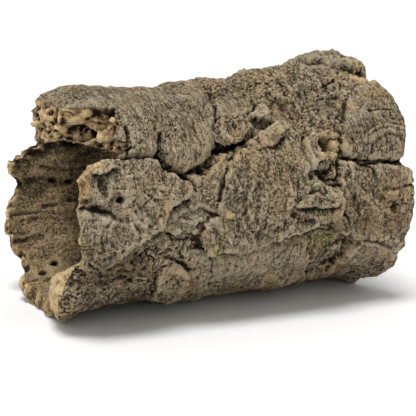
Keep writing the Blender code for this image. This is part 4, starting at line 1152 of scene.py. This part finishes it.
class Shader:
    """Short ways to add and join the nodes of one material."""

    def __init__(self, name):
        self.material = bpy.data.materials.new(name)
        self.material.use_nodes = True
        self.nodes = self.material.node_tree.nodes
        self.links = self.material.node_tree.links
        self.principled = self.nodes["Principled BSDF"]
        self.place = self.nodes.new("ShaderNodeTexCoord").outputs["Object"]

    def put(self, socket, value):
        if isinstance(value, bpy.types.NodeSocket):
            self.links.new(value, socket)
        else:
            socket.default_value = value

    def node(self, kind, inputs, **settings):
        """A node with its settings, and its inputs joined or set."""
        node = self.nodes.new("ShaderNode" + kind)
        for name, value in settings.items():
            setattr(node, name, value)
        for name, value in inputs.items():
            self.put(node.inputs[name], value)
        return node

    def attribute(self, name):
        return self.node("Attribute", {}, attribute_name=name).outputs["Fac"]

    def math(self, operation, a, b=0.0):
        return self.node("Math", {0: a, 1: b}, operation=operation).outputs[0]

    def add(self, *terms):
        total = terms[0]
        for term in terms[1:]:
            total = self.math("ADD", total, term)
        return total

    def less(self, a, b):
        return self.math("SUBTRACT", a, b)

    def times(self, *factors):
        total = factors[0]
        for factor in factors[1:]:
            total = self.math("MULTIPLY", total, factor)
        return total

    def swing(self, value, amount):
        """A value from 0 to 1 as a change up and down."""
        return self.times(self.less(value, 0.5), amount)

    def span(self, value, low, high, to_low=0.0, to_high=1.0):
        inputs = {"Value": value, "From Min": low, "From Max": high, "To Min": to_low, "To Max": to_high}
        return self.node("MapRange", inputs, interpolation_type="SMOOTHSTEP").outputs["Result"]

    def stretched(self, x, y, z):
        inputs = {"Scale": (x, y, z), "Vector": self.place}
        return self.node("Mapping", inputs).outputs["Vector"]

    def noise(self, scale, detail=5.0, roughness=0.6, vector=None, distortion=0.0):
        inputs = {"Scale": scale, "Detail": detail, "Roughness": roughness}
        inputs["Distortion"] = distortion
        inputs["Vector"] = self.place if vector is None else vector
        return self.node("TexNoise", inputs).outputs["Fac"]

    def hairlines(self, scale, width, vector=None):
        """Thin winding lines where a noise passes its middle: 1 on the line."""
        off = self.math("ABSOLUTE", self.less(self.noise(scale, 3.0, 0.5, vector, 0.8), 0.5))
        return self.span(off, 0.0, width, 1.0, 0.0)

    def chips(self, scale):
        """Sharp-edged flat patches, each of its own tone."""
        warp = self.node("TexNoise", {"Scale": 160.0, "Vector": self.place}).outputs["Color"]
        shift = {0: warp, 1: (0.008, 0.008, 0.008), 2: self.place}
        moved = self.node("VectorMath", shift, operation="MULTIPLY_ADD").outputs["Vector"]
        cell = self.node("TexVoronoi", {"Scale": scale, "Vector": moved}).outputs["Color"]
        return self.node("SeparateColor", {"Color": cell}).outputs["Red"]

    def ramp(self, value, *stops):
        node = self.node("ValToRGB", {"Fac": value})
        ramp = node.color_ramp
        while len(ramp.elements) < len(stops):
            ramp.elements.new(0.5)
        for element, (position, colour) in zip(ramp.elements, stops):
            element.position = position
            element.color = (*colour, 1.0)
        return node.outputs["Color"]

    def mix(self, factor, a, b, blend="MIX"):
        """Two colours mixed: they are sockets 6 and 7 of the node."""
        opaque = [(*c, 1.0) if isinstance(c, tuple) else c for c in (a, b)]
        inputs = {"Factor": factor, 6: opaque[0], 7: opaque[1]}
        return self.node("Mix", inputs, data_type="RGBA", blend_type=blend).outputs[2]

    def tinted(self, factor, colour, tint):
        return self.mix(factor, colour, self.mix(1.0, colour, tint, "MULTIPLY"))


def bark_marks(s, field):
    """The textures that the bark's colours share, with painted glints, painted pit shadows and painted
    crest highlights and crease shade among them.
    """
    mark = {
        "broad": s.noise(28.0, 5.0, 0.55),
        "blotch": s.noise(110.0, 6.0, 0.65, distortion=0.6),
        "speck": s.noise(620.0, 3.0, 0.75),
        "dust": s.noise(1500.0, 2.0, 0.6),
        "chips": s.chips(300.0),
        "striae": s.noise(9.0, 4.0, 0.7, s.stretched(105.0, 9.0, 9.0)),
        "lengthwise": s.noise(8.0, 5.0, 0.65, s.stretched(4.0, 60.0, 60.0)),
    }
    mark["calm"] = s.less(1.0, s.times(field["pale"], 0.5))
    # Light flecks are painted glints, dark specks painted shadow in small pits
    grains = s.noise(430.0, 2.0, 0.5)
    light = s.span(grains, 0.42, 0.33, 0.0, 0.20)
    mark["flecks"] = s.less(light, s.span(grains, 0.57, 0.66, 0.0, 0.34))
    round_hairs = s.hairlines(9.0, 0.028, s.stretched(22.0, 5.0, 5.0))
    hairs = s.math("MAXIMUM", round_hairs, s.hairlines(70.0, 0.024))
    mark["hairs"] = s.times(hairs, s.span(mark["blotch"], 0.40, 0.62, 0.25, 1.0))
    # Painted highlight on raised places and painted shade in creases
    mark["crest"] = s.math("MAXIMUM", s.math("MINIMUM", field["cavity"], 0.8), -0.8)
    return mark


def outside_tone(s, field, mark):
    """How light the weathered outside is, with painted shade in creases and recesses, painted highlights
    on crests and lips, and painted glints and pit shadows.
    """
    speck, striae, grain = mark["speck"], mark["striae"], field["grain"]
    rugged = s.times(mark["calm"], s.span(s.noise(75.0, 3.0, 0.5), 0.40, 0.60, 0.35, 1.55))
    return s.add(
        0.655,
        # Painted highlight on crests and painted shade in creases, then painted shade in recesses
        s.times(mark["crest"], 0.34),
        s.times(field["hollow"], 0.030),
        s.swing(mark["blotch"], 0.85),
        s.swing(speck, s.times(rugged, 0.65)),
        s.swing(s.span(speck, 0.42, 0.58), s.times(rugged, 0.19)),
        s.swing(mark["dust"], 1.7),
        s.swing(mark["chips"], 0.12),
        s.times(field["tone"], 0.03),
        # Painted glints and painted shadow in small pits
        s.times(mark["flecks"], mark["calm"], s.span(field["rough"], 0.2, 1.1, 0.40, 1.25)),
        s.times(field["rough"], -0.05),
        s.times(grain, 0.05),
        # A painted highlight along lips and ledge rims
        s.times(field["lip"], 0.07),
        s.times(mark["hairs"], -0.40),
        s.swing(striae, s.add(0.20, s.times(grain, 0.50))),
        s.swing(s.span(striae, 0.42, 0.58), s.add(0.02, s.times(grain, 0.19))),
        s.swing(mark["broad"], 0.5),
    )


def outside_colour(s, mark, tone):
    colour = s.ramp(
        tone, (0.12, (0.022, 0.014, 0.008)), (0.34, (0.098, 0.07, 0.041)),
        (0.50, (0.215, 0.162, 0.096)), (0.66, (0.36, 0.281, 0.176)), (0.90, (0.659, 0.547, 0.371)),
    )
    colour = s.tinted(s.span(mark["broad"], 0.42, 0.66, 0.0, 0.5), colour, (0.98, 0.80, 0.56))
    stain = s.noise(55.0, 4.0, 0.6, distortion=0.8)
    return s.tinted(s.span(stain, 0.50, 0.66, 0.0, 0.75), colour, (0.66, 0.62, 0.58))


def inside_colour(s, field, mark):
    tone = s.add(
        0.54,
        # Painted highlight on crests and painted shade in creases and recesses
        s.times(mark["crest"], 0.22),
        s.times(field["hollow"], 0.022),
        s.swing(mark["lengthwise"], 0.38),
        s.swing(mark["blotch"], 1.3),
        s.swing(mark["speck"], 1.7),
        s.swing(mark["dust"], 1.8),
        # Painted glints and painted shadow in small pits
        s.times(mark["flecks"], 0.9),
        # Ochre patches paint light low near the open end, dark patches paint shade deep inside
        s.times(field["ochre"], 0.30),
        s.times(field["dark"], -0.14),
    )
    return s.ramp(
        tone, (0.10, (0.024, 0.016, 0.009)), (0.35, (0.115, 0.078, 0.041)),
        (0.60, (0.317, 0.227, 0.121)), (0.90, (0.621, 0.466, 0.257)),
    )


def broken_colour(s, field, mark):
    """Fresh cork, where the bark is broken."""
    tone = s.add(
        0.57,
        # Painted highlight on crests and painted shade in creases
        s.times(mark["crest"], 0.30),
        s.times(field["ochre"], 0.44),
        # Painted shade in recesses
        s.times(field["hollow"], 0.075),
        s.swing(mark["blotch"], 0.7),
        s.swing(mark["speck"], 0.7),
        s.swing(mark["dust"], 0.4),
    )
    return s.ramp(
        tone, (0.12, (0.022, 0.013, 0.008)), (0.36, (0.10, 0.060, 0.028)),
        (0.58, (0.42, 0.275, 0.130)), (0.82, (0.74, 0.53, 0.27)), (1.0, (0.90, 0.68, 0.37)),
    )


def pale_colour(s, tone):
    return s.ramp(
        tone, (0.15, (0.10, 0.078, 0.054)), (0.45, (0.33, 0.268, 0.178)), (0.85, (0.61, 0.51, 0.355))
    )


def shaded(s, field, colour):
    """The colour, darker in hollows and below hanging edges."""
    shade = s.times(
        s.span(field["cavity"], -1.3, -0.2, 0.35, 1.0),
        s.span(field["hollow"], -5.5, -1.5, 0.50, 1.0),
        s.span(field["skirt"], 0.1, 0.8, 1.0, 0.30),
    )
    return s.mix(1.0, colour, shade, "MULTIPLY")


def bark_look():
    s = Shader("bark")
    field = {name: s.attribute(name) for name in FIELDS}
    mark = bark_marks(s, field)
    blotch, speck, dark = mark["blotch"], mark["speck"], field["dark"]
    tone = outside_tone(s, field, mark)
    broken = broken_colour(s, field, mark)
    colour = s.mix(field["inner"], outside_colour(s, mark, tone), inside_colour(s, field, mark))
    colour = s.mix(s.span(field["edge"], 0.25, 0.7), colour, broken)
    outer = s.less(1.0, s.times(field["inner"], 0.6))
    colour = s.mix(s.times(field["ochre"], s.span(blotch, 0.3, 0.5, 0.4, 1.0), outer), colour, broken)
    colour = s.mix(s.times(field["pale"], 0.7), colour, pale_colour(s, tone))
    lichen = s.times(field["lichen"], s.span(speck, 0.45, 0.54))
    colour = s.mix(lichen, colour, (0.56, 0.47, 0.17))
    colour = s.tinted(s.times(field["red"], 0.7), colour, (1.0, 0.66, 0.50))
    # Dark crust, and the painted shadow that some dark patches hold, darken the colour here, broken into
    # islands at the patches' edges
    islands = s.span(s.noise(240.0, 4.0, 0.7), 0.42, 0.56)
    between = s.times(dark, s.less(1.0, dark), islands)
    dim = s.less(dark, s.times(between, 2.2))
    colour = s.tinted(s.times(dim, 0.85), colour, (0.17, 0.135, 0.11))
    s.put(s.principled.inputs["Base Color"], shaded(s, field, colour))
    s.put(s.principled.inputs["Roughness"], s.span(blotch, 0.3, 0.7, 0.95, 0.78))
    s.put(s.principled.inputs["Specular IOR Level"], 0.25)

    height = s.add(
        speck,
        s.times(blotch, 0.9),
        s.times(mark["striae"], s.add(0.4, s.times(field["grain"], 0.8))),
        s.times(mark["lengthwise"], field["inner"]),
        s.times(mark["hairs"], -0.6),
        s.times(mark["chips"], 0.25),
    )
    bump = s.node("Bump", {"Strength": 1.0, "Distance": BUMP_DEPTH, "Height": height})
    s.put(s.principled.inputs["Normal"], bump.outputs["Normal"])
    return s.material


def set_camera():
    a, e = math.radians(CAMERA_ROUND), math.radians(CAMERA_ABOVE)
    back = np.array([math.sin(a) * math.cos(e), -math.cos(a) * math.cos(e), math.sin(e)])
    right = np.cross(-back, [0.0, 0.0, 1.0])
    right /= np.linalg.norm(right)
    axes = [tilted(axis) for axis in (right, np.cross(right, -back), back)]
    at = tilted(LOOKED_AT + CAMERA_FAR * back) + MOVE * MM
    camera = bpy.data.objects.new("camera", bpy.data.cameras.new("camera"))
    camera.data.lens = CAMERA_LENS
    camera.data.sensor_width = 36.0
    camera.data.clip_end = 20.0
    rows = [[float(axis[n]) for axis in axes] + [float(at[n])] for n in range(3)]
    camera.matrix_world = Matrix(rows + [[0.0, 0.0, 0.0, 1.0]])
    bpy.context.scene.collection.objects.link(camera)
    bpy.context.scene.camera = camera


def studio():
    scene = bpy.context.scene
    scene.view_settings.view_transform = "Standard"
    world = bpy.data.worlds.new("studio")
    world.use_nodes = True
    sky = world.node_tree.nodes["Background"]
    sky.inputs["Color"].default_value = (1.0, 1.0, 1.0, 1.0)
    sky.inputs["Strength"].default_value = SKY_STRENGTH
    scene.world = world
    light = bpy.data.lights.new("overhead", "SUN")
    light.energy = SUN_STRENGTH
    light.angle = math.radians(SUN_WIDTH)
    lamp = bpy.data.objects.new("overhead", light)
    lamp.rotation_euler = Vector(SUN_WAY).to_track_quat("-Z", "Y").to_euler()
    scene.collection.objects.link(lamp)
    bpy.ops.mesh.primitive_plane_add(size=FLOOR_SIZE, location=(0.0, 0.0, -FLOOR_DROP))
    floor = bpy.context.active_object
    floor.name = "floor"
    look = bpy.data.materials.new("floor")
    look.use_nodes = True
    surface = look.node_tree.nodes["Principled BSDF"]
    surface.inputs["Base Color"].default_value = (0.93, 0.93, 0.93, 1.0)
    surface.inputs["Roughness"].default_value = 0.9
    floor.data.materials.append(look)


points, fields = fine_bark()
bark = bark_piece(points, fields)
look = bark_look()
bark.data.materials.append(look)
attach(bark, "root")
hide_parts("cork_bark_round")
for number, (outline, colour, lift) in enumerate(FLAKES):
    flake(number, outline, colour, lift, look)
for number, (centre, sizes, colour) in enumerate(LUMPS):
    lump(number, centre, sizes, colour, look)
crumbs(points, fields, look)
set_camera()
studio()
